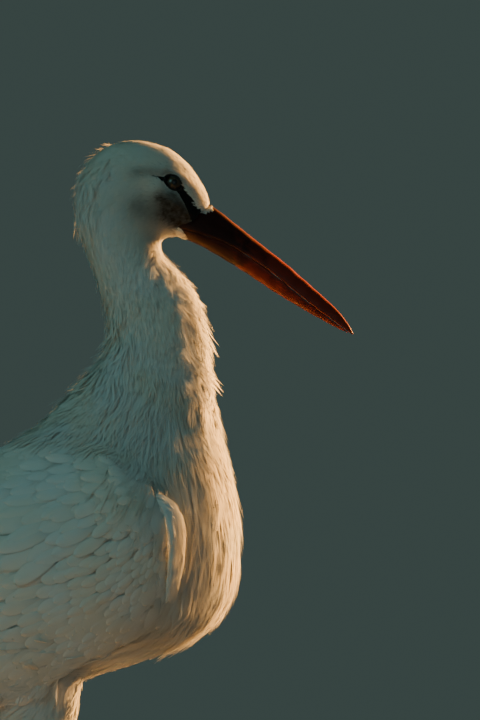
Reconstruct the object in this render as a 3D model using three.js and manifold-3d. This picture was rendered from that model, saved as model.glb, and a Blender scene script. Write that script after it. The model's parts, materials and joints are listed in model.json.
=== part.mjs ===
// A standing white stork (Ciconia ciconia) as a life-size still model, in millimetres.
// +X is the way it faces, +Y its left side and +Z up. The origin is on the floor, under the
// middle of its length. Each named body part is its own closed solid.
import * as THREE from "three";
import { mergeVertices } from "three/addons/utils/BufferGeometryUtils.js";
import Module from "manifold-3d";

const wasm = await Module();
wasm.setup();

// ---------------------------------------------------------------- driving dimensions
const GAP = 0.3; // clear space between two parts that meet
const SIDE_SIGNS = { l: 1, r: -1 };

const EYE = { x: 160, y: 17.2, z: 958.6, radius: 7.4 };
const EYE_MESH = [12, 9]; // its segments round and from pole to pole
const BILL_PITCH = THREE.MathUtils.degToRad(37); // the bill points this far below the horizon
const BODY_PITCH = THREE.MathUtils.degToRad(27); // the back falls this steeply towards the tail
const BODY_CENTRE = { x: 106, z: 652 }; // where the trunk's long axis starts, at the shoulders

const LEG_SPREAD = 43; // from the middle plane to each foot
const LEG_STAGGER = 13; // the right foot is this far in front of the middle, the left behind
const FOOT_X = 7;
const ANKLE_Z = 226;
const TROUSER_Z = 338; // where the feathered part of the leg ends
const HUB_HEIGHT = 17; // of the foot, where the toes meet
const SECTION_POWER = 2.2; // 2 is an ellipse, more is squarer

// ---------------------------------------------------------------- colours
const finish = (color, roughness) =>
  new THREE.MeshStandardMaterial({ color, roughness, metalness: 0 });
const materials = {
  plumage: finish(0xf1ece2, 0.85),
  quills: finish(0x17161a, 0.55),
  bill: finish(0xa8271a, 0.4),
  leg: finish(0xc1422a, 0.5),
  eye: finish(0x24150c, 0.08),
  claw: finish(0x3a2a24, 0.45),
};

// ---------------------------------------------------------------- building blocks

// A closed skin over rings of points that all have the same count. The end rings get caps.
function loft(rings) {
  const sides = rings[0].length;
  const points = rings.flat();
  const faces = [];
  for (let i = 0; i + 1 < rings.length; i++) {
    for (let k = 0; k < sides; k++) {
      const a = i * sides + k;
      const b = i * sides + ((k + 1) % sides);
      faces.push(a, b, a + sides, b, b + sides, a + sides);
    }
  }
  const middle = (ring) =>
    ring.reduce((sum, p) => sum.add(p), new THREE.Vector3()).divideScalar(sides);
  for (const [ring, start, turned] of [
    [rings[0], 0, true],
    [rings.at(-1), (rings.length - 1) * sides, false],
  ]) {
    const hub = points.push(middle(ring)) - 1;
    for (let k = 0; k < sides; k++) {
      const [a, b] = [start + k, start + ((k + 1) % sides)];
      faces.push(...(turned ? [hub, b, a] : [hub, a, b]));
    }
  }
  return new THREE.BufferGeometry().setFromPoints(points).setIndex(faces);
}

// A three.js geometry as a solid that can be cut. It comes out facing outwards.
function solidOf(geometry) {
  const bare = geometry.clone();
  bare.deleteAttribute("normal");
  bare.deleteAttribute("uv");
  const merged = mergeVertices(bare, 1e-4);
  const index = merged.index.array;
  const at = (i) => new THREE.Vector3().fromBufferAttribute(merged.attributes.position, i);
  let volume = 0;
  const kept = [];
  for (let i = 0; i < index.length; i += 3) {
    const [a, b, c] = index.slice(i, i + 3);
    if (a === b || b === c || a === c) continue;
    kept.push([a, b, c]);
    volume += at(a).dot(at(b).cross(at(c)));
  }
  const faces = volume < 0 ? kept.map(([a, b, c]) => [a, c, b]) : kept;
  return new wasm.Manifold(
    new wasm.Mesh({
      numProp: 3,
      vertProperties: new Float32Array(merged.attributes.position.array),
      triVerts: new Uint32Array(faces.flat()),
    }),
  );
}

function geometryOf(solid) {
  const mesh = solid.getMesh();
  return new THREE.BufferGeometry()
    .setAttribute("position", new THREE.BufferAttribute(mesh.vertProperties, 3))
    .setIndex(new THREE.BufferAttribute(mesh.triVerts, 1))
    .toNonIndexed();
}

const stork = new THREE.Group();

function part(name, solid, material) {
  const geometry = geometryOf(solid);
  geometry.computeVertexNormals();
  const mesh = new THREE.Mesh(geometry, material);
  mesh.name = name;
  stork.add(mesh);
  return mesh;
}

const rounded = (angle, trig, power = SECTION_POWER) =>
  Math.sign(trig(angle)) * Math.abs(trig(angle)) ** (2 / power);

// A smooth function through [position, value, value...] rows: it returns the values there.
function follows(rows) {
  const tracks = rows[0].slice(1).map(
    (_, k) =>
      new THREE.SplineCurve(rows.map((row) => new THREE.Vector2(row[0], row[k + 1]))),
  );
  return (position) => {
    let i = rows.findIndex((row) => row[0] >= position);
    if (i < 0) i = rows.length - 1;
    if (i === 0) i = 1;
    const [from, to] = [rows[i - 1][0], rows[i][0]];
    const share = THREE.MathUtils.clamp((position - from) / (to - from), 0, 1);
    const t = (i - 1 + share) / (rows.length - 1);
    return tracks.map((track) => track.getPoint(t).y);
  };
}

const steps = (from, to, count) =>
  Array.from({ length: count + 1 }, (_, i) => from + ((to - from) * i) / count);

// ---------------------------------------------------------------- head, neck and trunk
// One smooth form runs from the bill's root over the crown, down the neck and back to the tail.
// Each station crosses it from a point on the back's outline to one on the front's, in the
// middle plane. Stations fan out round the throat and round the hollow of the back.
const STATIONS = [
  // back x, z, front x, z, half width, how much wider the back half is
  [198, 936.5, 170, 907, 14, 0.1], // root of the bill
  [185, 964.5, 163, 906, 18.5, 0.16],
  [164, 988, 157, 907, 23.5, 0.2], // over the eye
  [138, 998.5, 152, 908, 27, 0.16],
  [112, 999.5, 149, 909, 28.5, 0.08], // crown
  [87, 988, 147.5, 908, 30, 0],
  [71, 963, 147.5, 905, 31, 0], // nape
  [67, 935, 149, 899, 31.5, 0],
  [73, 908, 154, 890, 32, 0],
  [83, 879, 167, 878, 33, 0],
  [94, 848, 185, 853, 35, 0], // middle of the neck
  [99, 824, 191, 827, 37, 0],
  [96, 804, 194.5, 802, 40, 0],
  [83, 787, 197, 778, 44, 0],
  [62, 764, 201, 752, 50, 0],
  [37, 739, 207, 722, 57, 0], // root of the neck
  [20, 729, 216, 686, 66, -0.05],
  [7, 721, 221, 650, 74, -0.08],
  [-5, 715, 222, 614, 79, -0.1], // breast
  [-15, 709, 216, 578, 82, -0.1],
  [-24, 704, 196, 548, 84, -0.1],
  [-33, 699, 160, 526, 86, -0.08],
  [-48, 691, 112, 510, 87, -0.05],
  [-73, 674, 52, 494, 86, 0], // belly
  [-113, 645, -20, 476, 79, 0],
  [-152, 611, -76, 462, 69, 0],
  [-188, 574, -128, 452, 55, 0],
  [-216, 541, -172, 448, 41, 0], // rump
  [-240, 509, -214, 444, 27, 0],
  [-262, 477, -252, 441, 14, 0], // tail coverts
];
const STATION = {
  bill_root: 0,
  nape: 7.5,
  mid_neck: 10.4,
  low_neck: 13,
  neck_root: 15.3,
  breast_end: 21.4,
  tail_coverts: STATIONS.length - 1,
};
const RINGS_PER_STATION = 1.3;
const BODY_SIDES = 18;

const station = (() => {
  const last = STATIONS.length - 1;
  const back = new THREE.SplineCurve(STATIONS.map(([x, z]) => new THREE.Vector2(x, z)));
  const front = new THREE.SplineCurve(STATIONS.map((s) => new THREE.Vector2(s[2], s[3])));
  const widths = follows(STATIONS.map((s, i) => [i, s[4], s[5]]));
  return (s) => {
    const [width, bias] = widths(s);
    return { back: back.getPoint(s / last), front: front.getPoint(s / last), width, bias };
  };
})();

// One ring of the form. A shift moves it squarely on, towards the tail.
function bodyRing(s, shift = 0) {
  const { back, front, width, bias } = station(s);
  const middle = back.clone().add(front).multiplyScalar(0.5);
  const reach = back.clone().sub(front).multiplyScalar(0.5);
  const ahead = new THREE.Vector2(-reach.y, reach.x).normalize().multiplyScalar(shift);
  return steps(0, 2 * Math.PI, BODY_SIDES)
    .slice(1)
    .map((angle) => {
      const along = rounded(angle, Math.cos);
      const across = rounded(angle, Math.sin) * (1 + bias * along);
      return new THREE.Vector3(
        middle.x + reach.x * along + ahead.x,
        width * across,
        middle.y + reach.y * along + ahead.y,
      );
    });
}

// The form between two stations, stopping half a gap short of its neighbours.
function bodyLength(from, to) {
  const inner = steps(from, to, Math.round((to - from) * RINGS_PER_STATION)).slice(1, -1);
  const rings = inner.map((s) => bodyRing(s));
  return solidOf(loft([bodyRing(from, GAP / 2), ...rings, bodyRing(to, -GAP / 2)]));
}

// ---------------------------------------------------------------- bill, in the head's own axes
// a runs along the bill from the eye, b is square to it and up.
const headPoint = (a, y, b) =>
  new THREE.Vector3(
    EYE.x + a * Math.cos(BILL_PITCH) + b * Math.sin(BILL_PITCH),
    y,
    EYE.z - a * Math.sin(BILL_PITCH) + b * Math.cos(BILL_PITCH),
  );
const BILL_SEAM = [
  // a, b of the line where the two halves close
  [28, -30.5],
  [43, -24],
  [60, -17.8],
  [80, -13.6],
  [104, -11.4],
  [130, -11.3],
  [160, -12.6],
  [184, -12.7],
  [215, -11.9],
];
const UPPER_BILL = [
  // a, b of the ridge, half width at the closing edge
  [28, 0.5, 12.2],
  [44, 5.3, 13],
  [60, 5.1, 12.4],
  [80, 4.4, 11.4],
  [104, 3.5, 10.2],
  [130, 2.9, 8.9],
  [160, 0.8, 7.1],
  [184, -1.3, 5.3],
  [199, -3.7, 3.8],
  [209, -7.2, 2.2],
  [215, -10.9, 0.7],
];
const LOWER_BILL = [
  // a, b of the keel, half width at the closing edge
  [28, -37, 11.5],
  [44, -33, 12.2],
  [60, -29.9, 11.6],
  [80, -27.6, 10.5],
  [104, -25.6, 9.2],
  [130, -24.2, 7.8],
  [160, -21.1, 6],
  [184, -18.3, 4.3],
  [199, -15.9, 2.9],
  [208, -13.9, 1.5],
  [211, -13.1, 0.7],
];
const BILL_SIDES = 8;
const BILL_RINGS = 15;
const BILL_FULLNESS = 1.7; // how far the flanks swell between the closing edge and the ridge
const BILL_POWER = 2.4; // and how square its section is

function billHalf(rows, isUpper, grow = 0) {
  const seam = follows(BILL_SEAM);
  const shape = follows(rows);
  const edge = isUpper ? 0 : -GAP;
  const rings = steps(rows[0][0] - grow, rows.at(-1)[0] + grow, BILL_RINGS).map((a) => {
    const [ridge, width] = shape(a);
    const close = seam(a)[0] + edge - (isUpper ? grow : -grow);
    const reach = ridge + (isUpper ? grow : -grow) - close;
    return steps(0, Math.PI, BILL_SIDES).map((angle) =>
      headPoint(
        a,
        (width + grow) * rounded(angle, Math.cos, BILL_POWER),
        close + reach * Math.sin(angle) ** (2 / BILL_FULLNESS),
      ),
    );
  });
  return solidOf(loft(rings));
}

// ---------------------------------------------------------------- trunk axes and folded wings
// p runs back along the trunk from the shoulders, b is square to it and up.
const bodyPoint = (p, y, b) =>
  new THREE.Vector3(
    BODY_CENTRE.x - p * Math.cos(BODY_PITCH) - b * Math.sin(BODY_PITCH),
    y,
    BODY_CENTRE.z - p * Math.sin(BODY_PITCH) + b * Math.cos(BODY_PITCH),
  );
const WING = [
  // p, upper edge b, lower edge b, half width, upper and lower angle, thickness
  [-54, 8, -24, 80, 10, -16, 5],
  [-50, 25, -46, 86, 20, -28, 11],
  [-41, 39, -64, 91, 31, -36, 16],
  [-24, 54, -86, 95, 42, -43, 19],
  [4, 68, -104, 98, 51, -46, 20],
  [42, 81, -113, 100, 60, -46, 19],
  [90, 92, -114, 100, 66, -44, 17],
  [140, 99, -108, 97, 74, -39, 15],
  [200, 99, -96, 91, 84, -31, 14],
  [260, 89, -81, 81, 88, -22, 13],
  [320, 73, -66, 69, 88, -14, 12],
  [380, 52, -52, 56, 88, -9, 10],
  [440, 30, -41, 42, 88, -6, 8],
  [490, 9, -33, 27, 88, -5, 5.5],
  [512, -5, -29, 17, 88, -5, 3.5],
  [521, -15, -25, 9, 88, -5, 2],
];
const WING_RINGS = 18;
const WING_SIDES = 7;
const EDGE_THICKNESS = 1.4;
const WING_CROWN = 0.6; // below 1, the thickness is reached soon after the edges

function wing(side, grow = 0) {
  const shape = follows(WING);
  const sign = SIDE_SIGNS[side];
  const rings = steps(WING[0][0] - grow, WING.at(-1)[0] + grow, WING_RINGS).map((p) => {
    const [upper, lower, width, upperAngle, lowerAngle, thickness] = shape(p);
    const top = THREE.MathUtils.degToRad(upperAngle);
    const bottom = THREE.MathUtils.degToRad(lowerAngle);
    const height = (upper - lower + 2 * grow) / (Math.sin(top) - Math.sin(bottom));
    const centre = upper + grow - height * Math.sin(top);
    const across = steps(0, 1, WING_SIDES);
    const place = (v, depth) => {
      const angle = top + (bottom - top) * v;
      const y = Math.max(width * Math.cos(angle) - depth * Math.cos(angle), GAP);
      return bodyPoint(p, sign * y, centre + (height - depth) * Math.sin(angle));
    };
    const depth = (v) =>
      EDGE_THICKNESS + (thickness - EDGE_THICKNESS) * Math.sin(Math.PI * v) ** WING_CROWN + grow;
    const outer = across.map((v) => place(v, -grow));
    const inner = across.map((v) => place(v, depth(v))).reverse();
    return [...outer, ...inner];
  });
  return solidOf(loft(rings));
}

// A wing is parted where white coverts give way to black quills, and again before its tip.
// A cut crosses the trunk's long axis at p, and leans forward by this much for each step up.
const WING_CUTS = {
  quills: { p: 157, lean: -0.54 },
  tip: { p: 330, lean: -0.35 },
};
function cutPlane({ p, lean }) {
  const along = bodyPoint(p + 1, 0, lean).sub(bodyPoint(p, 0, 0)).normalize();
  return { normal: along.toArray(), offset: bodyPoint(p, 0, 0).dot(along) };
}
function between(solid, front, rear) {
  let piece = solid;
  if (front) {
    const { normal, offset } = cutPlane(front);
    piece = piece.trimByPlane(normal, offset + GAP / 2);
  }
  if (rear) {
    const { normal, offset } = cutPlane(rear);
    piece = piece.trimByPlane(normal.map((n) => -n), GAP / 2 - offset);
  }
  return piece;
}

// ---------------------------------------------------------------- tail
const TAIL = [
  // p, b of its middle, half width, half thickness
  [286, -12, 20, 6],
  [340, -22, 27, 5.5],
  [400, -37, 33, 5],
  [450, -47, 38, 4.2],
  [490, -53, 40, 3],
  [504, -55, 36, 2.2],
  [510, -56, 26, 1.5],
];
const TAIL_RINGS = 8;
const TAIL_SIDES = 12;
const TAIL_POWER = 2.6; // how flat its faces are
const TAIL_ARCH = 0.22; // how far the sides hang below the middle, per unit of width

function tail(grow = 0) {
  const shape = follows(TAIL);
  const rings = steps(TAIL[0][0] - grow, TAIL.at(-1)[0] + grow, TAIL_RINGS).map((p) => {
    const [b, width, thick] = shape(p);
    return steps(0, 2 * Math.PI, TAIL_SIDES)
      .slice(1)
      .map((angle) => {
        const y = (width + grow) * Math.cos(angle);
        const arch = TAIL_ARCH * width * (y / width) ** 2;
        return bodyPoint(p, y, b - arch + (thick + grow) * rounded(angle, Math.sin, TAIL_POWER));
      });
  });
  return solidOf(loft(rings));
}

// ---------------------------------------------------------------- legs
// Each row is a level ring of a leg: its share of the stagger, how far it is in front of the
// foot, its height, half depth and half width. A leg hangs straight below its own side's hip.
const THIGH = [
  [0, 26, 540, 44, 26],
  [0.05, 22, 500, 50, 30],
  [0.3, 15, 450, 43, 28],
  [0.65, 11, 400, 29, 22],
  [0.9, 6, 362, 18.5, 15.5],
  [1, 2, TROUSER_Z, 10.5, 9.5],
];
const TIBIA = [
  [1, 1.8, TROUSER_Z - GAP, 6.6, 6],
  [1, -3, 300, 6, 5.4],
  [1, -8, 262, 6, 5.6],
  [1, -10.5, ANKLE_Z + 19, 7.6, 7.4],
];
const ANKLE = [
  [1, -10.6, ANKLE_Z + 19 - GAP, 7.7, 7.5],
  [1, -11.5, ANKLE_Z + 10, 10, 9.4],
  [1, -12, ANKLE_Z, 10.6, 9.8],
  [1, -11.4, ANKLE_Z - 11, 9.2, 8.2],
  [1, -10.4, ANKLE_Z - 20, 7.4, 6.4],
];
const TARSUS = [
  [1, -10.3, ANKLE_Z - 20 - GAP, 7.3, 6.3],
  [1, -8, 160, 6.2, 4.9],
  [1, -5, 100, 5.9, 4.7],
  [1, -2, 50, 6.2, 5.2],
  [1, -0.5, 28, 7.2, 7.2],
  [1, 0, HUB_HEIGHT + GAP, 8.4, 8.8],
];
const HUB = [
  [1, 0, 0, 15, 13],
  [1, 0, 5, 16.5, 14.5],
  [1, 0, 11, 14, 12.5],
  [1, 0, HUB_HEIGHT, 9, 9],
];
// Rings and sides of each limb.
const THIGH_MESH = [8, 14];
const TIBIA_MESH = [4, 10];
const ANKLE_MESH = [5, 10];
const TARSUS_MESH = [7, 10];
const HUB_MESH = [3, 14];

// A solid through a leg's rows. A grown one is wider all round and longer at both ends, but
// never reaches below the floor.
function limb(side, rows, [ringCount, sideCount], grow = 0) {
  const sign = SIDE_SIGNS[side];
  const shape = follows(rows.map((row, i) => [i, ...row]));
  const last = rows.length - 1;
  const down = Math.sign(rows[0][2] - rows[last][2]);
  const rings = steps(0, last, ringCount).map((i) => {
    const [share, ahead, height, depth, width] = shape(i);
    const longer = (i === 0 ? grow : i === last ? -grow : 0) * down;
    return steps(0, 2 * Math.PI, sideCount)
      .slice(1)
      .map(
        (angle) =>
          new THREE.Vector3(
            FOOT_X - sign * LEG_STAGGER * share + ahead + (depth + grow) * Math.cos(angle),
            sign * LEG_SPREAD + (width + grow) * Math.sin(angle),
            Math.max(0, height + longer),
          ),
      );
  });
  return solidOf(loft(rings));
}

// Toes: the way each one points from straight ahead (positive is outwards), its length, its
// thickness at the root and how many pads it has.
const TOES = {
  inner: { turn: -38, length: 62, thick: 5.2, pads: 2 },
  middle: { turn: 0, length: 82, thick: 5.6, pads: 3 },
  outer: { turn: 37, length: 70, thick: 5.2, pads: 4 },
  hind: { turn: 172, length: 31, thick: 4.6, pads: 1 },
};
const TOE_START = 15.2;
const TOE_FORM = {
  rings: 8,
  sides: 8,
  swell: 0.1, // how much thicker a pad is
  taper: 0.32, // how much thinner the end is
  root: 0.85, // the first ring's share of its width, where it meets the hub
  end: 0.72, // and the last one's, at the claw
  rise: 0.7, // how far the root is lifted, in thicknesses
  fall: 2.4, // how fast that fades along the toe
  flat: 0.82, // height of the middle line, in radii: below 1 leaves a flat sole
};
const CLAW = {
  rings: 3,
  sides: 6,
  length: 11,
  width: 0.6, // of its toe's thickness
  depth: 0.75, // of its own width
  height: 0.55, // of its middle line at the root, in toe thicknesses
  droop: 0.62, // share of that height lost at the tip
  point: 0.02, // how blunt the tip is
  lift: 0.2, // it never comes lower than this
};

const toePlace = (side, turn, along, across, z) => {
  const sign = SIDE_SIGNS[side];
  const angle = THREE.MathUtils.degToRad(turn) * sign;
  return new THREE.Vector3(
    FOOT_X - sign * LEG_STAGGER + along * Math.cos(angle) - across * Math.sin(angle),
    sign * LEG_SPREAD + along * Math.sin(angle) + across * Math.cos(angle),
    z,
  );
};

// A toe swells at its pads and is flat underneath, on the floor.
function toe(side, { turn, length, thick, pads }) {
  const form = TOE_FORM;
  const rings = steps(0, 1, form.rings).map((t) => {
    const swell = 1 + form.swell * Math.cos(2 * Math.PI * pads * t);
    const ends = (t === 1 ? form.end : 1) * (t === 0 ? form.root : 1);
    const radius = thick * (1 - form.taper * t) * swell * ends;
    const rise = thick * Math.max(0, form.rise - form.fall * t);
    const along = TOE_START + (length - TOE_START) * t;
    return steps(0, 2 * Math.PI, form.sides)
      .slice(1)
      .map((angle) => {
        const z = radius * form.flat + rise + (radius + rise) * Math.sin(angle);
        return toePlace(side, turn, along, radius * Math.cos(angle), Math.max(0, z));
      });
  });
  return solidOf(loft(rings));
}

function claw(side, { turn, length, thick }) {
  const rings = steps(0, 1, CLAW.rings).map((t) => {
    const radius = thick * CLAW.width * Math.sqrt(1 + CLAW.point - t);
    const middle = thick * CLAW.height * (1 - CLAW.droop * t);
    const along = length + GAP + CLAW.length * t;
    return steps(0, 2 * Math.PI, CLAW.sides)
      .slice(1)
      .map((angle) => {
        const z = middle + radius * CLAW.depth * Math.sin(angle);
        return toePlace(side, turn, along, radius * Math.cos(angle), Math.max(CLAW.lift, z));
      });
  });
  return solidOf(loft(rings));
}

// The bare part of a leg, from below the feathers to the claws.
function bareLeg(side) {
  part(`tibia_${side}`, limb(side, TIBIA, TIBIA_MESH), materials.leg);
  part(`ankle_${side}`, limb(side, ANKLE, ANKLE_MESH), materials.leg);
  part(`tarsus_${side}`, limb(side, TARSUS, TARSUS_MESH), materials.leg);
  part(`foot_${side}`, limb(side, HUB, HUB_MESH), materials.leg);
  const hubRoom = limb(side, HUB, HUB_MESH, GAP);
  for (const [name, shape] of Object.entries(TOES)) {
    part(`toe_${name}_${side}`, toe(side, shape).subtract(hubRoom), materials.leg);
    part(`claw_${name}_${side}`, claw(side, shape), materials.claw);
  }
}

// ---------------------------------------------------------------- the whole bird
const sides = Object.keys(SIDE_SIGNS);
const wingRooms = sides.map((side) => wing(side, GAP));
const thighRooms = sides.map((side) => limb(side, THIGH, THIGH_MESH, GAP));

// What is left of a solid beside its neighbours, without the loose slivers that a cut can leave.
function clearOf(solid, cutters) {
  const left = cutters.reduce((rest, cutter) => rest.subtract(cutter), solid);
  return left.decompose().reduce((a, b) => (b.volume() > a.volume() ? b : a));
}

const eyeball = (side, grow = 0) => {
  const ball = new THREE.SphereGeometry(EYE.radius + grow, ...EYE_MESH);
  return solidOf(ball.translate(EYE.x, SIDE_SIGNS[side] * EYE.y, EYE.z));
};
const headCutters = [
  billHalf(UPPER_BILL, true, GAP),
  billHalf(LOWER_BILL, false, GAP),
  ...sides.map((side) => eyeball(side, GAP)),
];


const plumed = (name, solid) => part(name, solid, materials.plumage);
const { bill_root, nape, mid_neck, low_neck, neck_root, breast_end, tail_coverts } = STATION;
plumed("head", clearOf(bodyLength(bill_root, nape), headCutters));
part("upper_bill", billHalf(UPPER_BILL, true), materials.bill);
part("lower_bill", billHalf(LOWER_BILL, false), materials.bill);
plumed("neck_upper", bodyLength(nape, mid_neck));
plumed("neck_middle", bodyLength(mid_neck, low_neck));
plumed("neck_lower", bodyLength(low_neck, neck_root));
const limbRooms = [...wingRooms, ...thighRooms];
plumed("breast", clearOf(bodyLength(neck_root, breast_end), limbRooms));
plumed("trunk", clearOf(bodyLength(breast_end, tail_coverts), [...limbRooms, tail(GAP)]));
plumed("tail", clearOf(tail(), wingRooms));
for (const side of sides) {
  const whole = wing(side);
  part(`eye_${side}`, eyeball(side), materials.eye);
  plumed(`wing_coverts_${side}`, between(whole, null, WING_CUTS.quills));
  part(`wing_quills_${side}`, between(whole, WING_CUTS.quills, WING_CUTS.tip), materials.quills);
  part(`wing_tip_${side}`, between(whole, WING_CUTS.tip, null), materials.quills);
  plumed(`thigh_${side}`, clearOf(limb(side, THIGH, THIGH_MESH), wingRooms));
  bareLeg(side);
}

// The origin goes under the middle of the bird's length.
const extent = new THREE.Box3().setFromObject(stork);
stork.position.x = -(extent.min.x + extent.max.x) / 2;

export default stork;
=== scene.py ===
"""A life-size white stork, standing still: skin, feathers, bill, eyes and legs round the frame.

Everything is in metres, +X is the way the bird faces, +Y its left side and +Z up.
"""

import json
import math
from contextlib import contextmanager

import bmesh
import bpy
import numpy as np
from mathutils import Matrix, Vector, kdtree
from mathutils.bvhtree import BVHTree
from numpy.random import default_rng

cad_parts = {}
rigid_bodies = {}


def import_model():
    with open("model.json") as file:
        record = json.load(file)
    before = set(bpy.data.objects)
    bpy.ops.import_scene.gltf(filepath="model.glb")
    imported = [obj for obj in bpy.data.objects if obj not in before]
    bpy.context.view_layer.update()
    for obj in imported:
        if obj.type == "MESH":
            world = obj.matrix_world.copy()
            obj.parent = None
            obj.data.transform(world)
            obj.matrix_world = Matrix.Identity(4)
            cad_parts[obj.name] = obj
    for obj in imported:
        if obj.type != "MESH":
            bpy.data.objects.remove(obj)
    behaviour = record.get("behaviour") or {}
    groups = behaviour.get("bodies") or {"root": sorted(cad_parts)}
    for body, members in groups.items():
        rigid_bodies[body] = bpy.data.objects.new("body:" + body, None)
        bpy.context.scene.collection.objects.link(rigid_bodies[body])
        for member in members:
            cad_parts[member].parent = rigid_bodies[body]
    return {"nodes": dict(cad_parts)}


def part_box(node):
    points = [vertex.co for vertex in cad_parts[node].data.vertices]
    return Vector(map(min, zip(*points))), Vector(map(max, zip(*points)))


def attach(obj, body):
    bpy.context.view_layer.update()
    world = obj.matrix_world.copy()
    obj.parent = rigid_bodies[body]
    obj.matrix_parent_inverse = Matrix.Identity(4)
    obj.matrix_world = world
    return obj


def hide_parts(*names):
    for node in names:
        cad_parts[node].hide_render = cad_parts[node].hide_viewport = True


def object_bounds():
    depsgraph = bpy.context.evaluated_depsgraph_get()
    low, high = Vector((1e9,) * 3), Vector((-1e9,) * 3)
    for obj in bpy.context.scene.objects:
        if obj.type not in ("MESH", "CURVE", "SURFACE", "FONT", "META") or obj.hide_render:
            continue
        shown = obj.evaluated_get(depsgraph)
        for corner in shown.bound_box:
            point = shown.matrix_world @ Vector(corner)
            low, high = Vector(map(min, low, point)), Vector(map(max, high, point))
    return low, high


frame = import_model()
CAD_BOX = [list(corner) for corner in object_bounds()]

# ---- driving sizes and places
MM = 0.001
SIDES = {"l": 1, "r": -1}
BILL_PITCH = math.radians(37)  # the bill points this far below level
BODY_PITCH = math.radians(27)  # the back falls this steeply towards the tail
PATCH = 0.003  # how wide a tuft's place is in the map OFBake

TOES = ("inner", "middle", "outer", "hind")
BODY_FLESH = ["head", "neck_upper", "neck_middle", "neck_lower", "breast", "trunk", "tail"]
WING_NODES = ("wing_coverts", "wing_quills", "wing_tip")
BODY_FLESH += [f"{part}_{s}" for part in (*WING_NODES, "thigh") for s in SIDES]
LEG_FLESH = [f"{part}_{s}" for part in ("tibia", "ankle", "tarsus", "foot") for s in SIDES]
LEG_FLESH += [f"toe_{toe}_{s}" for toe in TOES for s in SIDES]


def spot(node, along, across, up):
    """A place inside a node's box, as shares of its length, width and height."""
    low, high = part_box(node)
    return np.array([lo + (hi - lo) * f for lo, hi, f in zip(low, high, (along, across, up))])


MIDDLE = (0.5, 0.5, 0.5)  # shares of a node's box
EYE = {side: spot(f"eye_{side}", *MIDDLE) for side in SIDES}
EYE_RADIUS = (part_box("eye_l")[1].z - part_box("eye_l")[0].z) / 2
BILL_WAY = np.array([math.cos(BILL_PITCH), 0, -math.sin(BILL_PITCH)])
BILL_UP = np.array([math.sin(BILL_PITCH), 0, math.cos(BILL_PITCH)])
BODY_BACK = np.array([-math.cos(BODY_PITCH), 0, -math.sin(BODY_PITCH)])
BODY_UP = np.array([-math.sin(BODY_PITCH), 0, math.cos(BODY_PITCH)])
SHOULDER = spot("wing_coverts_l", 0.8, 0, 0.71) * (1, 0, 1)  # in the bird's middle plane
OUTSIDE = 0.4  # rays that look for a surface start this far out


# ---- numbers
def unit(v):
    return v / np.maximum(np.linalg.norm(v, axis=-1, keepdims=True), 1e-12)


def ramp(start, end, x):
    """0 before start, 1 after end, and a smooth climb between them."""
    t = np.clip((np.asarray(x, float) - start) / (end - start), 0, 1)
    return t * t * (3 - 2 * t)


def bump_at(distance, width):
    """1 at no distance, fading to nothing a few widths away."""
    return np.exp(-((distance / width) ** 2))


def smoothed(rows, rounds):
    """Rows of numbers, each drawn towards the rows before and after it this many times."""
    rows = np.array(rows, float)
    for _ in range(rounds):
        rows[1:-1] = (rows[:-2] + 2 * rows[1:-1] + rows[2:]) / 4
    return rows


def lengths_along(line):
    """How far along a line of places each of them is."""
    return np.concatenate([[0], np.linalg.norm(np.diff(line, axis=0), axis=1).cumsum()])


def turned(way, out, angle):
    """Ways turned about the skin's outward direction."""
    side = np.cross(out, way)
    return way * np.cos(angle)[:, None] + side * np.sin(angle)[:, None]


WAVE_COUNT = 9


def waves(co, size, rng):
    """Smooth unevenness over space, about -1 to 1, with swells of this size."""
    ways = rng.normal(size=(WAVE_COUNT, 3)) / size * 2.2
    phase = rng.uniform(0, 2 * np.pi, WAVE_COUNT)
    return np.sin(co @ ways.T + phase).sum(1) / math.sqrt(WAVE_COUNT)


def well_spaced(co, gaps, rng):
    """Numbers of points picked at random, at most one from each cell as wide as its gap."""
    chosen, taken = [], set()
    for index in rng.permutation(len(co)):
        cell = tuple((co[index] // gaps[index]).astype(int))
        if cell not in taken:
            taken.add(cell)
            chosen.append(index)
    return chosen


def point_tree(points):
    """A search tree over places."""
    tree = kdtree.KDTree(len(points))
    for index, place in enumerate(points):
        tree.insert(place, index)
    tree.balance()
    return tree


def read_off(rows, length, stops):
    """Rows of numbers read off at these stops, when each row's length along is given."""
    return np.column_stack([np.interp(stops, length, column) for column in rows.T])


def quads(rows, columns, start=0, closed=False):
    """The faces of a grid of points that begins at a number. A closed grid's rows are rings."""
    faces = []
    for i in range(rows - 1):
        near, far = start + i * columns, start + (i + 1) * columns
        for j in range(columns if closed else columns - 1):
            beside = (j + 1) % columns
            faces.append((near + j, far + j, far + beside, near + beside))
    return faces


# ---- meshes
def places(mesh):
    co = np.empty(len(mesh.vertices) * 3, np.float32)
    mesh.vertices.foreach_get("co", co)
    return co.reshape(-1, 3).astype(float)


def put_places(mesh, co):
    mesh.vertices.foreach_set("co", np.asarray(co, np.float32).ravel())
    mesh.update()


def normals(mesh):
    out = np.empty(len(mesh.vertices) * 3, np.float32)
    mesh.vertex_normals.foreach_get("vector", out)
    return out.reshape(-1, 3).astype(float)


def edges_of(mesh):
    ends = np.empty(len(mesh.edges) * 2, np.int32)
    mesh.edges.foreach_get("vertices", ends)
    return ends.reshape(-1, 2)


def relaxed(values, edges, rounds):
    """Each point's number or vector drawn towards its neighbours', this many times over."""
    count = np.maximum(np.bincount(edges.ravel(), minlength=len(values)), 1)
    a, b = edges.T
    columns = values.reshape(len(values), -1).copy()
    for _ in range(rounds):
        for column in columns.T:
            total = np.bincount(a, column[b], len(column)) + np.bincount(b, column[a], len(column))
            column += 0.5 * (total / count - column)
    return columns.reshape(values.shape)


def linked(name, mesh):
    piece = bpy.data.objects.new(name, mesh)
    bpy.context.scene.collection.objects.link(piece)
    return piece


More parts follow.
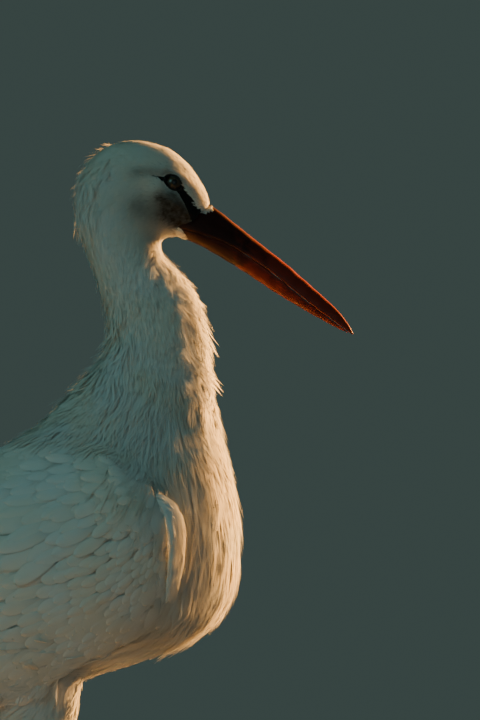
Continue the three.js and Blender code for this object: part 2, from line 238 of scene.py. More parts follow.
def mesh_object(name, points, faces):
    mesh = bpy.data.meshes.new(name)
    mesh.from_pydata([tuple(p) for p in points], [], [tuple(f) for f in faces])
    mesh.update()
    return linked(name, mesh)


def store(mesh, name, values):
    """Keeps numbers or vectors with a mesh's points."""
    values = np.asarray(values, np.float32)
    kind, slot = ("FLOAT", "value") if values.ndim == 1 else ("FLOAT_VECTOR", "vector")
    old = mesh.attributes.get(name)
    if old:
        mesh.attributes.remove(old)
    mesh.attributes.new(name, kind, "POINT").data.foreach_set(slot, values.ravel())


def stored(mesh, name):
    data = mesh.attributes[name].data
    width, slot = (3, "vector") if hasattr(data[0], "vector") else (1, "value")
    values = np.empty(len(data) * width, np.float32)
    data.foreach_get(slot, values)
    return values.reshape(-1, 3).astype(float) if width == 3 else values.astype(float)


def remove(piece):
    mesh = piece.data
    bpy.data.objects.remove(piece)
    if mesh.users == 0:
        bpy.data.meshes.remove(mesh)


def finished(piece):
    """The piece with its modifiers worked out and taken off, as a plain mesh."""
    bpy.context.view_layer.update()
    graph = bpy.context.evaluated_depsgraph_get()
    mesh = bpy.data.meshes.new_from_object(piece.evaluated_get(graph))
    name = piece.name
    remove(piece)
    mesh.name = name
    return linked(name, mesh)


def subdivided(piece, levels):
    change = piece.modifiers.new("Subdivision", "SUBSURF")
    change.levels = change.render_levels = levels
    return finished(piece)


def smooth_faces(mesh):
    mesh.polygons.foreach_set("use_smooth", [True] * len(mesh.polygons))


def hand_over(piece, finish, nodes=()):
    """Ends a piece: its material, the nodes that it replaces and the body it rides."""
    smooth_faces(piece.data)
    piece.data.materials.clear()
    piece.data.materials.append(finish)
    if nodes:
        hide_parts(*nodes)
    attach(piece, "root")


@contextmanager
def opened(mesh):
    """A mesh taken apart for editing, and put together again afterwards."""
    bm = bmesh.new()
    bm.from_mesh(mesh)
    yield bm
    bm.to_mesh(mesh)
    bm.free()


def joined_nodes(names):
    """Copies of CAD nodes in one mesh, with each node's loose triangles merged."""
    bm = bmesh.new()
    for name in names:
        bm.from_mesh(frame["nodes"][name].data)
    bmesh.ops.remove_doubles(bm, verts=bm.verts, dist=0.002 * MM)
    mesh = bpy.data.meshes.new("joined")
    bm.to_mesh(mesh)
    bm.free()
    return mesh


def remeshed(name, nodes, voxel):
    """One even skin over several CAD nodes."""
    piece = linked(name, joined_nodes(nodes))
    change = piece.modifiers.new("Remesh", "REMESH")
    change.mode = "VOXEL"
    change.voxel_size = voxel
    return finished(piece)


def tree_over(meshes):
    """A search tree over several meshes, and which mesh each of its faces is from."""
    points, faces, owner = [], [], []
    for index, mesh in enumerate(meshes):
        start = len(points)
        points += [tuple(v.co) for v in mesh.vertices]
        faces += [tuple(start + v for v in f.vertices) for f in mesh.polygons]
        owner += [index] * len(mesh.polygons)
    return BVHTree.FromPolygons(points, faces), owner


def surface_tree(mesh):
    return tree_over([mesh])[0]


# ---- sums in node trees
class Link:
    """An output of a node, with the sums and mixes that more nodes are made from."""

    def __init__(self, nodes, socket):
        self.nodes, self.socket = nodes, socket

    def other(self, name):
        """Another output of the same node."""
        return Link(self.nodes, open_socket(self.socket.node.outputs, name))

    def sum(self, operation, *values):
        return self.nodes.make("ShaderNodeMath", {"operation": operation}, dict(enumerate(values)))

    def __add__(self, other):
        return self.sum("ADD", self, other)

    def __sub__(self, other):
        return self.sum("SUBTRACT", self, other)

    def __rsub__(self, other):
        return self.sum("SUBTRACT", other, self)

    def __mul__(self, other):
        return self.sum("MULTIPLY", self, other)

    def __rtruediv__(self, other):
        return self.sum("DIVIDE", other, self)

    __radd__ = __add__
    __rmul__ = __mul__

    def ramp(self, start, end):
        """0 at start, 1 at end, and a smooth climb between."""
        values = {"Value": self, "From Min": start, "From Max": end}
        return self.nodes.make("ShaderNodeMapRange", {"interpolation_type": "SMOOTHSTEP"}, values)

    def over(self, colour, under):
        """This share of one colour, over another."""
        values = {"Factor": self, "A": under, "B": colour}
        return self.nodes.make("ShaderNodeMix", {"data_type": "RGBA"}, values)

    def vector(self, operation, other, output="Vector"):
        settings = {"operation": operation}
        key = "Scale" if operation == "SCALE" else 1
        return self.nodes.make("ShaderNodeVectorMath", settings, {0: self, key: other}, output)


def open_socket(sockets, key):
    if isinstance(key, int):
        return sockets[key]
    return next(s for s in sockets if s.name == key and s.enabled)


class Nodes:
    """Makes the nodes of one tree."""

    def __init__(self, tree):
        self.tree = tree

    def make(self, kind, settings=None, values=None, output=None):
        """A node of a type: its settings first, then its sockets' values or links."""
        node = self.tree.nodes.new(kind)
        for key, value in (settings or {}).items():
            setattr(node, key, value)
        for key, value in (values or {}).items():
            socket = open_socket(node.inputs, key)
            if isinstance(value, Link):
                self.tree.links.new(value.socket, socket)
            else:
                socket.default_value = value
        if not node.outputs:
            return node
        if output is None:
            return Link(self, next(s for s in node.outputs if s.enabled))
        return Link(self, open_socket(node.outputs, output))


# ---- materials
WHITE = (0.83, 0.80, 0.735, 1)
COOL_WHITE = (0.80, 0.81, 0.80, 1)
STAINED = (0.66, 0.57, 0.44, 1)
# Brown for painted shade below the brow and round the lores and gape, mixed with some stain.
SHADE_STAIN_BROWN = (0.062, 0.038, 0.021, 1)
DOWN = (0.55, 0.54, 0.51, 1)
BLACK_VANE = (0.008, 0.008, 0.011, 1)
GREY_VANE = (0.036, 0.040, 0.052, 1)
BARE_BLACK = (0.013, 0.010, 0.009, 1)
RED_SKIN = (0.19, 0.020, 0.011, 1)
DARK_RED = (0.030, 0.007, 0.006, 1)
BRIGHT_RED = (0.32, 0.042, 0.018, 1)
GAPE_LIT_ORANGE = (0.36, 0.10, 0.03, 1)
PALE_SCALE = (0.60, 0.20, 0.12, 1)
PUPIL_BLACK = (0.002, 0.002, 0.002, 1)
IRIS_BROWN = (0.075, 0.042, 0.015, 1)
IRIS_DARK = (0.030, 0.017, 0.008, 1)
IRIS_EDGE = (0.010, 0.006, 0.004, 1)
LID_WORN = (0.030, 0.022, 0.018, 1)
CLAW_BROWN = (0.075, 0.050, 0.038, 1)
CLAW_BLACK = (0.014, 0.010, 0.009, 1)
FLOOR_PALE = (0.56, 0.55, 0.53, 1)
FLOOR_GREY = (0.52, 0.51, 0.49, 1)
BARBS = 60  # barb ridges along a body feather, for the finest relief
QUILL_BARBS = 220
PUPIL_EDGE = (0.31, 0.36)  # from its middle, in radii of the eyeball
IRIS_RIM = (0.74, 0.88)


class Finish(Nodes):
    """A material under way: a Principled shader, and the patterns that feed it."""

    def __init__(self, name, constants):
        self.material = bpy.data.materials.new(name)
        self.material.use_nodes = True
        super().__init__(self.material.node_tree)
        self.tree.nodes.clear()
        self.shader = self.make("ShaderNodeBsdfPrincipled", None, constants)

    def place(self):
        return self.make("ShaderNodeTexCoord", None, None, "Object")

    def kept(self, name, output="Fac"):
        """A value that the mesh carries."""
        return self.make("ShaderNodeAttribute", {"attribute_name": name}, None, output)

    def noise(self, where, scale, detail=2.0, rough=0.5):
        values = {"Vector": where, "Scale": scale, "Detail": detail, "Roughness": rough}
        return self.make("ShaderNodeTexNoise", None, values)

    def drawn_out(self, where, stretch):
        return self.make("ShaderNodeMapping", None, {"Vector": where, "Scale": stretch})

    def bump(self, height, distance, strength):
        values = {"Height": height, "Distance": distance, "Strength": strength}
        return self.make("ShaderNodeBump", None, values)

    def feed(self, name, link):
        self.tree.links.new(link.socket, self.shader.socket.node.inputs[name])

    def done(self, glow=0.0, glow_colour=None):
        """Ends the material. With a glow, some of the light behind the sheet comes through it."""
        surface = self.shader
        if glow:
            through = self.make("ShaderNodeBsdfTranslucent", None, {"Color": glow_colour})
            surface = self.make("ShaderNodeMixShader", None, {0: glow, 1: surface, 2: through})
        self.make("ShaderNodeOutputMaterial", None, {"Surface": surface})
        return self.material


def plumage(name, glow, stain, root_shade):
    """White feathers: a warm and a cool white, some staining, and greyer at the roots, from grey down
    and painted shade between the feathers.
    """
    f = Finish(name, {"IOR": 1.45, "Specular IOR Level": 0.25, "Sheen Weight": 0.12})
    where = f.place()
    tone = f.noise(where, 22, 3).ramp(0.35, 0.65).over(WHITE, COOL_WHITE)
    dirt = f.noise(where, 9, 4, 0.6).ramp(0.5, 0.8) * stain
    colour = dirt.over(STAINED, tone)
    along = f.kept("along")
    # Grey down and painted shade between the feathers grey the roots.
    colour = ((1 - along.ramp(0.0, 0.6)) * root_shade).over(DOWN, colour)
    # Painted shade, with some stain, below the brow and round the lores and gape.
    colour = (f.kept("smudge") * (0.75 + 0.5 * f.noise(where, 260, 3))).over(SHADE_STAIN_BROWN, colour)
    f.feed("Base Color", colour)
    f.feed("Roughness", 0.8 + f.noise(where, 160) * 0.12)
    ribs = f.drawn_out(f.kept("blade", "Vector"), (BARBS, 2, 1))
    f.feed("Normal", f.bump(f.noise(ribs, 1.0, 1), 0.25 * MM, 0.5))
    return f.done(glow, colour)


# Each plumage's glow, staining, and how grey its roots are, from grey down and painted shade between
# the feathers.
PLUMAGES = {
    "fine plumage": (0.3, 0.25, 0.2),
    "plume": (0.4, 0.5, 0.4),
    "body plumage": (0.3, 0.25, 0.5),
    "shoulder plumage": (0.35, 0.4, 0.55),
    "covert plumage": (0.2, 0.25, 0.6),
    "wrist plumage": (0.25, 0.1, 0.2),
    "tail plumage": (0.2, 0.25, 0.2),
}
FINISHES = {name: plumage(name, *numbers) for name, numbers in PLUMAGES.items()}


def quill_finish():
    """Black flight feathers with a grey bloom on their outer webs."""
    f = Finish("quill black", {"IOR": 1.5, "Specular IOR Level": 0.18})
    where, blade = f.place(), f.kept("blade", "Vector")
    ribs = f.noise(f.drawn_out(blade, (QUILL_BARBS, 3, 1)), 1.0, 2)
    bloom = f.kept("bloom") * (0.55 + 0.6 * f.noise(where, 60, 3))
    colour = bloom.over(GREY_VANE, BLACK_VANE)
    f.feed("Base Color", colour)
    f.feed("Roughness", 0.34 + ribs * 0.2 + bloom * 0.2)
    f.feed("Normal", f.bump(ribs, 0.3 * MM, 0.6))
    return f.done()


def under_skin():
    """The skin beneath the coat: grey-white down, darkened by painted shade and some stain by the
    face, and black where it is bare, under black vanes, and where the lores patch widens into painted
    shade.
    """
    f = Finish("skin", {"IOR": 1.45, "Specular IOR Level": 0.12})
    where = f.place()
    fluff = f.noise(where, 420, 4, 0.7)
    colour = fluff.ramp(0.3, 0.7).over(WHITE, DOWN)
    # Painted shade, with some stain, below the brow and round the lores and gape.
    colour = f.kept("smudge").over(SHADE_STAIN_BROWN, colour)
    colour = f.kept("black").ramp(0.35, 0.65).over(BLACK_VANE, colour)
    # Bare black skin; where the lores patch widens down towards the bill, this black is painted shade.
    bare = f.kept("bare").ramp(0.35, 0.65)
    colour = bare.over(BARE_BLACK, colour)
    f.feed("Base Color", colour)
    f.feed("Roughness", 0.85 - bare * 0.35)
    f.feed("Normal", f.bump(fluff, 1.2 * MM, 0.7))
    return f.done()


def bill_finish():
    """Dark red horn, streaked along its length, duller towards the face and darkened there by painted
    shade, with a painted highlight along its ridge, painted light at its tip and painted orange light
    at the gape.
    """
    constants = {"IOR": 1.54, "Coat Roughness": 0.22, "Specular IOR Level": 0.11}
    f = Finish("bill horn", constants)
    where, blade = f.place(), f.kept("blade", "Vector")
    along, up = [f.make("ShaderNodeSeparateXYZ", None, {0: blade}, axis) for axis in "XY"]
    streak = f.noise(f.drawn_out(blade, (5, 40, 1)), 1.0, 5, 0.65)
    blotch = f.noise(where, 75, 4, 0.6)
    # Painted shade: darker towards the face, where the bill's root lies in shade.
    root = 1 - along.ramp(0.05, 0.65)
    dark = (root * 0.95 + (blotch - 0.5) * 1.3 + (streak - 0.5) * 1.1).ramp(0.0, 0.7)
    colour = dark.over(DARK_RED, RED_SKIN)
    # A painted highlight where blade Y is high, along the upper half's ridge and the lower half's
    # closing edge, and painted light towards the tip.
    ridge = up.ramp(0.8, 1.0) * along.ramp(0.0, 0.25)
    colour = (ridge * 0.35).over(BRIGHT_RED, colour)
    colour = (along.ramp(0.82, 1.0) * 0.45).over(BRIGHT_RED, colour)
    # Painted light: the gape's thin skin lit orange from behind.
    colour = (f.kept("gape") * 0.25).over(GAPE_LIT_ORANGE, colour)
    colour = f.kept("nostril").ramp(0.3, 0.8).over(BARE_BLACK, colour)
    f.feed("Base Color", colour)
    f.feed("Roughness", 0.36 + root * 0.2 + (streak - 0.5) * 0.25)
    f.feed("Coat Weight", 0.10 - root * 0.10)
    grain = f.noise(f.drawn_out(blade, (6, 50, 1)), 1.0, 2)
    f.feed("Normal", f.bump(grain + blotch * 0.5, 0.3 * MM, 0.15))
    return f.done()


def eye_finish():
    """A brown iris round a black pupil, wet and clear in front."""
    constants = {"IOR": 1.38, "Coat Weight": 0.6, "Coat Roughness": 0.03, "Roughness": 0.3}
    f = Finish("eye", constants)
    out = f.kept("from_pupil")
    rays = f.noise(f.drawn_out(f.kept("blade", "Vector"), (1.5, 26, 26)), 1.0, 3)
    iris = rays.ramp(0.3, 0.75).over(IRIS_BROWN, IRIS_DARK)
    iris = out.ramp(*IRIS_RIM).over(IRIS_EDGE, iris)
    f.feed("Base Color", (1 - out.ramp(*PUPIL_EDGE)).over(PUPIL_BLACK, iris))
    return f.done()


def lid_finish():
    """Bare black skin round the eye, finely wrinkled."""
    f = Finish("lid skin", {"IOR": 1.45, "Specular IOR Level": 0.5})
    where = f.place()
    crease = f.noise(where, 900, 3)
    f.feed("Base Color", f.noise(where, 300).ramp(0.3, 0.8).over(LID_WORN, BARE_BLACK))
    f.feed("Roughness", 0.42 + crease * 0.2)
    f.feed("Normal", f.bump(crease, 0.25 * MM, 0.7))
    return f.done()


def leg_finish():
    """Red leg skin in small plates, paler and dustier on their faces, darker between."""
    f = Finish("leg skin", {"IOR": 1.45, "Specular IOR Level": 0.45})
    where = f.place()
    face = f.kept("plate")
    blotch = f.noise(where, 60, 4, 0.6)
    colour = blotch.ramp(0.35, 0.7).over(RED_SKIN, BRIGHT_RED)
    colour = (face * f.noise(where, 140, 3).ramp(0.45, 0.75) * 0.45).over(PALE_SCALE, colour)
    colour = ((1 - face) * 0.7).over(DARK_RED, colour)
    f.feed("Base Color", colour)
    f.feed("Roughness", 0.62 - face * 0.12 + blotch * 0.1)
    f.feed("Normal", f.bump(f.noise(where, 700, 3) + face * 0.4, 0.3 * MM, 0.6))
    return f.done()


def claw_finish():
    """Near-black horn with a brown grain."""
    f = Finish("claw horn", {"IOR": 1.54, "Specular IOR Level": 0.5})
    grain = f.noise(f.place(), 260, 4)
    f.feed("Base Color", grain.ramp(0.3, 0.75).over(CLAW_BROWN, CLAW_BLACK))
    f.feed("Roughness", 0.34 + grain * 0.25)
    f.feed("Normal", f.bump(grain, 0.2 * MM, 0.5))
    return f.done()


def floor_finish():
    f = Finish("pale floor", {"IOR": 1.45, "Specular IOR Level": 0.2})
    grain = f.noise(f.place(), 6, 5)
    f.feed("Base Color", grain.over(FLOOR_PALE, FLOOR_GREY))
    f.feed("Roughness", 0.8 + grain * 0.1)
    return f.done()


# ---- how the coat lies
# For each node, rows of places in the middle plane (shares of its box's length and height), the
# way feathers point there (forward, up), their length and the coat's depth in millimetres.
LIE = {
    "head": [
        (0.98, 0.33, -0.43, 0.90, 5, 1.3), (0.79, 0.86, -0.75, 0.65, 7, 1.8),
        (0.41, 1.00, -1.00, 0.03, 10, 2.8), (0.14, 0.86, -0.75, -0.65, 14, 4.0),
        (0.01, 0.33, 0.05, -1.00, 17, 5.0), (0.64, 0.62, -0.99, 0.10, 6, 1.6),
        (0.83, 0.52, -0.85, 0.50, 4, 1.1), (0.87, 0.38, -0.93, 0.35, 4, 1.1),
        (0.64, 0.33, -0.98, -0.15, 7, 2.0), (0.75, 0.16, -0.97, -0.22, 5, 1.5),
        (0.64, 0.10, -0.55, -0.83, 8, 2.5), (0.37, 0.52, -0.85, -0.52, 10, 3.0),
        (0.18, 0.43, -0.35, -0.93, 14, 4.0),
    ],
    "neck_upper": [
        (0.10, 0.63, 0.30, -0.95, 19, 5.5), (0.43, 0.50, 0.38, -0.92, 17, 5.0),
        (0.85, 0.45, 0.62, -0.78, 15, 4.5),
    ],
    "neck_middle": [
        (0.14, 0.58, 0.02, -1.00, 21, 6.0), (0.55, 0.50, 0.12, -0.99, 20, 6.0),
        (0.96, 0.58, 0.13, -0.99, 22, 6.0),
    ],
    "neck_lower": [
        (0.19, 0.70, -0.68, -0.73, 26, 7.0), (0.56, 0.57, -0.20, -0.98, 27, 8.0),
        (0.95, 0.57, 0.15, -0.99, 30, 8.0),
    ],
    "breast": [
        (0.96, 0.84, 0.10, -0.99, 34, 9.0), (0.99, 0.56, 0.02, -1.00, 36, 10.0),
        (0.80, 0.65, -0.10, -0.99, 34, 9.0), (0.57, 0.84, -0.60, -0.80, 32, 8.0),
        (0.95, 0.26, -0.40, -0.92, 34, 9.0), (0.80, 0.05, -0.88, -0.48, 34, 9.0),
        (0.19, 0.91, -0.88, -0.47, 36, 7.0), (0.46, 0.00, -0.97, -0.22, 34, 9.0),
    ],
    "trunk": [
        (0.50, 0.94, -0.88, -0.48, 40, 6.0), (0.30, 0.70, -0.80, -0.60, 42, 6.0),
        (0.15, 0.45, -0.76, -0.65, 40, 6.0), (0.04, 0.23, -0.80, -0.60, 45, 5.0),
        (0.70, 0.17, -0.98, -0.20, 34, 8.0), (0.40, 0.05, -0.98, -0.20, 36, 8.0),
        (0.10, 0.02, -0.95, -0.30, 40, 7.0), (0.80, 0.47, -0.90, -0.40, 34, 6.0),
    ],
}
LIE_REACH = 6 * MM  # inside this distance a row's word is final
THIGH_WAY = (-0.12, 0, -0.99)
THIGH_LENGTH = 27 * MM
THIGH_DEPTH = (4 * MM, 7 * MM)  # at the bottom and the top
WING_DEPTH = 3.5 * MM
TAIL_DEPTH = 1.5 * MM
# How deep the skin lies under the black feathers, at these distances back along the trunk.
QUILL_BACK = (157 * MM, 330 * MM, 500 * MM)
QUILL_DEPTH = (3 * MM, 2.6 * MM, 0.9 * MM)
REGIONS = {
    "head": ["head"],
    "neck": ["neck_upper", "neck_middle", "neck_lower"],
    "breast": ["breast"],
    "trunk": ["trunk"],
    "wing": [f"wing_coverts_{s}" for s in SIDES],
    "quills": [f"wing_quills_{s}" for s in SIDES],
    "tip": [f"wing_tip_{s}" for s in SIDES],
    "tail": ["tail"],
    "thigh": [f"thigh_{s}" for s in SIDES],
}


def trunk_places(co):
    """How far back along the trunk from the shoulders each place is, and how far up."""
    out = co - SHOULDER
    return out @ BODY_BACK, out @ BODY_UP


def region_shares(mesh):
    """For each region, how far each point of the skin belongs to it, from 0 to 1."""
    names = list(REGIONS)
    search, owner = tree_over([joined_nodes(REGIONS[name]) for name in names])
    nearest = np.array([owner[search.find_nearest(v.co)[2]] for v in mesh.vertices])
    shares = np.eye(len(names))[nearest]
    shares = relaxed(shares, edges_of(mesh), 3)
    return {name: shares[:, k] for k, name in enumerate(names)}


def coat_map(co, shares):
    """The way feathers point, their length and the coat's depth, at each of these places."""
    rows = [(*spot(node, x, 0.5, z)[[0, 2]], *lie) for node in LIE for x, z, *lie in LIE[node]]
    rows = np.array(rows)
    gap = np.linalg.norm(co[:, None, [0, 2]] - rows[None, :, :2], axis=2)
    weight = (gap**2 + LIE_REACH**2) ** -2.0
    weight /= weight.sum(1, keepdims=True)
    found = weight @ rows[:, 2:]
    way = np.column_stack([found[:, 0], np.zeros(len(co)), found[:, 1]])
    length, depth = found[:, 2] * MM, found[:, 3] * MM
    thigh = shares["thigh"][:, None]
    low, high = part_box("thigh_l")
    rise = np.clip((co[:, 2] - low.z) / (high.z - low.z), 0, 1)
    thigh_depth = THIGH_DEPTH[0] + (THIGH_DEPTH[1] - THIGH_DEPTH[0]) * rise
    way = way * (1 - thigh) + np.array(THIGH_WAY) * thigh
    length = length * (1 - thigh[:, 0]) + THIGH_LENGTH * thigh[:, 0]
    depth = depth * (1 - thigh[:, 0]) + thigh_depth * thigh[:, 0]
    quills = np.interp(trunk_places(co)[0], QUILL_BACK, QUILL_DEPTH)
    fixed = {"wing": WING_DEPTH, "quills": quills, "tip": quills, "tail": TAIL_DEPTH}
    depth = depth * (1 - sum(shares[name] for name in fixed))
    depth = depth + sum(shares[name] * fixed[name] for name in fixed)
    return way, length, depth


# ---- the face
# Places on the face are measured from the eye: ahead along the bill, and up square to it.
LID_AHEAD, LID_UP = 8.6 * MM, 6.0 * MM  # half sizes of the bare ring round the opening


def face_places(co):
    """How far ahead of the eye and above it each place is."""
    out = co - EYE["l"] * (1, 0, 1)
    return out @ BILL_WAY, out @ BILL_UP


def along_line(ahead, up, start, end):
    """The distance from a line on the face, and the share of the way along it."""
    start, end = np.array(start) * MM, np.array(end) * MM
    way = end - start
    share = ((ahead - start[0]) * way[0] + (up - start[1]) * way[1]) / (way @ way)
    share = np.clip(share, 0, 1)
    gap = np.hypot(ahead - start[0] - share * way[0], up - start[1] - share * way[1])
    return gap, share


# The black patch before the eye, from its corner to the bill: bare lores near the eye, and painted
# shade where it widens downward towards the bill. How far ahead of the eye, and its upper and lower
# edges there, in millimetres.
LORES_AND_SHADE = [
    (5, 3.8, -4.2), (8, 3.6, -4.6), (12, 2.4, -6.0), (18, 0.4, -8.5), (25, -1.6, -12.0),
    (31, -4.6, -16.0), (38, -4.6, -20.0), (48, -3.0, -23.0),
]
# The bare line behind the eye's corner: its ends ahead and up, and half its width there.
EYE_CORNER = ((-7, -2.2), (-18.5, -6.8))
CORNER_WIDTHS = (2.7, 0.4)
# Lines of painted shade, mixed with some stain, on the feathers below the brow and round the lores and
# gape: both ends ahead and up, half the width, and how dark.
SHADE_STAIN_LINES = [
    ((2, -17), (36, -17), 6.5, 0.9),
    ((12, -25), (36, -26), 6.5, 0.85),
    ((8, -9), (30, -14), 5.0, 0.75),
    ((-10, -34), (26, -26), 10.0, 0.45),
    ((-30, -11), (-8, 4), 4.5, 0.34),
    ((-8, 5), (8, 7), 3.0, 0.30),
    ((8, 6), (30, 3), 3.5, 0.16),
]
# Lines where the face is moulded: both ends ahead and up, half the width, and how far out.
BROW = ((-12, 5.5), (20, 9.5), 3.6, 1.9)
MOULDING = [
    ((10, -1), (34, -6), 4.5, -2.1),
    ((-8, -13), (14, -14), 6.0, 1.3),
    ((-8, -1), (-19, -6), 1.6, -0.9),
]
EYE_HOLLOW = 0.8 * MM  # how deep the skin dips round the lids


def eye_ring(ahead, up):
    """1 on the outer edge of the bare ring round an eye, and more beyond it."""
    return np.hypot(ahead / LID_AHEAD, up / LID_UP)


def bare_face(co):
    """1 where the face is painted black: bare skin round the eye and behind its corner, and the lores
    patch, bare by the eye and painted shade where it widens towards the bill.
    """
    ahead, up = face_places(co)
    bare = 1 - ramp(1.02, 1.22, eye_ring(ahead, up))
    gap, share = along_line(ahead, up, *EYE_CORNER)
    width = CORNER_WIDTHS[0] - (CORNER_WIDTHS[0] - CORNER_WIDTHS[1]) * share
    bare = np.maximum(bare, 1 - ramp(0.7, 1.3, gap / (width * MM)))
    # The lores patch: bare by the eye, and painted shade where it widens towards the bill.
    at, top, bottom = np.array(LORES_AND_SHADE).T * MM
    edge = np.minimum(np.interp(ahead, at, top) - up, up - np.interp(ahead, at, bottom))
    edge = np.minimum(edge, ahead - 5 * MM)
    bare = np.maximum(bare, ramp(-0.6 * MM, 0.8 * MM, edge))
    return bare * (np.abs(co[:, 1]) > 4 * MM)


def shade_and_stain(co):
    """How far feathers are painted darker: painted shade below the brow and round the lores and gape,
    with some stain mixed in.
    """
    ahead, up = face_places(co)
    light = np.ones(len(co))
    for start, end, width, dark in SHADE_STAIN_LINES:
        gap, _ = along_line(ahead, up, start, end)
        light *= 1 - dark * bump_at(gap, width * MM)
    return 1 - light


def round_the_eye(co, way, length):
    """Turns the lie of the feathers to flow past the eye, and shortens those before it."""
    ahead, up = face_places(co)
    ring = np.maximum(eye_ring(ahead, up), 1.0)
    turn = np.arctan2(up / LID_UP, ahead / LID_AHEAD)
    outward, around = -np.cos(turn) * (1 - ring**-2), np.sin(turn) * (1 + ring**-2)
    flow_ahead = outward * np.cos(turn) - around * np.sin(turn)
    flow_up = outward * np.sin(turn) + around * np.cos(turn)
    flow = BILL_WAY * flow_ahead[:, None] + BILL_UP * flow_up[:, None]
    near = bump_at(ring - 1, 1.3)
    way = unit(way) + flow * (near * 1.6)[:, None]
    space = (ring - 1) * LID_UP + 1.6 * MM
    return way, np.minimum(length, np.where(ahead > -LID_AHEAD, space * 1.3, length))


def shape_face(co, out):
    """Moves the face's skin into its brows, lores, cheeks and the hollows for the eyes."""
    ahead, up = face_places(co)
    side = np.abs(co[:, 1]) > 5 * MM
    start, end, width, height = BROW
    gap, share = along_line(ahead, up, start, end)
    push = height * MM * bump_at(gap, width * MM) * np.sin(np.pi * (0.15 + 0.75 * share))
    for start, end, width, height in MOULDING:
        gap, _ = along_line(ahead, up, start, end)
        push += height * MM * bump_at(gap, width * MM)
    ring = eye_ring(ahead, up)
    push -= EYE_HOLLOW * bump_at(ring - 1.25, 0.3)
    co = co + out * (push * side)[:, None]
    inside = side & (ring < 0.86)
    behind = EYE["l"][1] - 0.2 * EYE_RADIUS
    co[inside, 1] = np.sign(co[inside, 1]) * np.minimum(np.abs(co[inside, 1]), behind)
    return co


# ---- the skin
SKIN_VOXEL = 3.2 * MM
FACE_REACH = 34 * MM  # how far round the eye the skin is made finer
# The line on the wing where black vanes begin: how far back it crosses the trunk's long axis,
# and how much further back for each step up.
BLACK_START, BLACK_LEAN = 157 * MM, 0.54
BLACK_UNDER = 38 * MM  # how much further back it begins over the wing's upper edge
THICKEST = 30 * MM  # beyond this the body's thickness doesn't matter to its coat
DEEPEST = 0.36  # how deep the skin may lie, as a share of the body's thickness there


def refine_near_eyes(mesh):
    """Splits the faces round the eyes in four, for their finer shape."""
    middle = EYE["l"] * (1, 0, 1)
    with opened(mesh) as bm:
        near = {v for v in bm.verts if math.hypot(v.co.x - middle[0], v.co.z - middle[2]) < FACE_REACH}
        edges = [e for e in bm.edges if near.issuperset(e.verts)]
        bmesh.ops.subdivide_edges(bm, edges=edges, cuts=1, use_grid_fill=True, smooth=0.0)


def in_the_open(mesh, reach):
    """1 where nothing of the skin lies this close in front of it, as it does under a wing."""
    search = surface_tree(mesh)
    starts = places(mesh) + normals(mesh) * MM
    near = [search.ray_cast(Vector(p), Vector(n), reach)[0] for p, n in zip(starts, normals(mesh))]
    return np.array([hit is None for hit in near], float)


def thickness(mesh):
    """How far it is through the body from each of its points, where it is thin."""
    search = surface_tree(mesh)
    starts = places(mesh) - normals(mesh) * 0.2 * MM
    gaps = [search.ray_cast(Vector(p), Vector(-n), THICKEST)[3] for p, n in zip(starts, normals(mesh))]
    return np.array([THICKEST if gap is None else gap for gap in gaps])


def keep_largest(mesh):
    """Removes the small closed bubbles that a remesh leaves inside."""
    with opened(mesh) as bm:
        left, parts = set(bm.verts), []
        while left:
            part, front = set(), [left.pop()]
            while front:
                v = front.pop()
                part.add(v)
                near = [e.other_vert(v) for e in v.link_edges]
                front += [n for n in near if n in left]
                left.difference_update(near)
            parts.append(part)
        largest = max(parts, key=len)
        bmesh.ops.delete(bm, geom=[v for v in bm.verts if v not in largest], context="VERTS")


# Creases filled before the coat is laid: how far back along the trunk and how far up they
# start and end, in millimetres.
CREASE_BACK = (-60, 175)
CREASE_UP = (-125, -28)
CREASE_ROUNDS = 45


def fill_creases(mesh):
    """Fills the narrow creases where wing, belly and thigh meet, as loose feathers do."""
    edges = edges_of(mesh)
    back, up = trunk_places(places(mesh))
    inside = np.minimum(back - CREASE_BACK[0] * MM, CREASE_BACK[1] * MM - back)
    inside = np.minimum(inside, np.minimum(up - CREASE_UP[0] * MM, CREASE_UP[1] * MM - up))
    share = ramp(0, 15 * MM, inside)[:, None]
    for _ in range(CREASE_ROUNDS):
        co, out = places(mesh), normals(mesh)
        move = relaxed(co, edges, 1) - co
        outward = (move * out).sum(1, keepdims=True) > 0
        put_places(mesh, co + move * outward * share)


def store_lie(mesh, edges, way, length, depth):
    """Keeps with the skin the way its feathers lie, which way is out, their length and depth."""
    out = normals(mesh)
    way, length = round_the_eye(places(mesh), relaxed(way, edges, 4), length)
    store(mesh, "lie", unit(way - out * (way * out).sum(1, keepdims=True)))
    store(mesh, "out", unit(relaxed(out, edges, 3)))
    store(mesh, "size", length)
    store(mesh, "depth", depth)


def store_markings(mesh, shares):
    """Keeps with the skin where it is black, where it is bare (the lores patch widening into painted
    shade), and where painted shade, with some stain, darkens it.
    """
    co = places(mesh)
    back, up = trunk_places(co)
    wing = np.minimum(1, 1.5 * (shares["wing"] + shares["quills"] + shares["tip"]))
    under = BLACK_UNDER * ramp(15 * MM, 45 * MM, up)
    store(mesh, "black", wing * ramp(-3 * MM, 3 * MM, back - BLACK_START + BLACK_LEAN * up - under))
    store(mesh, "bare", bare_face(co))
    store(mesh, "smudge", shade_and_stain(co))


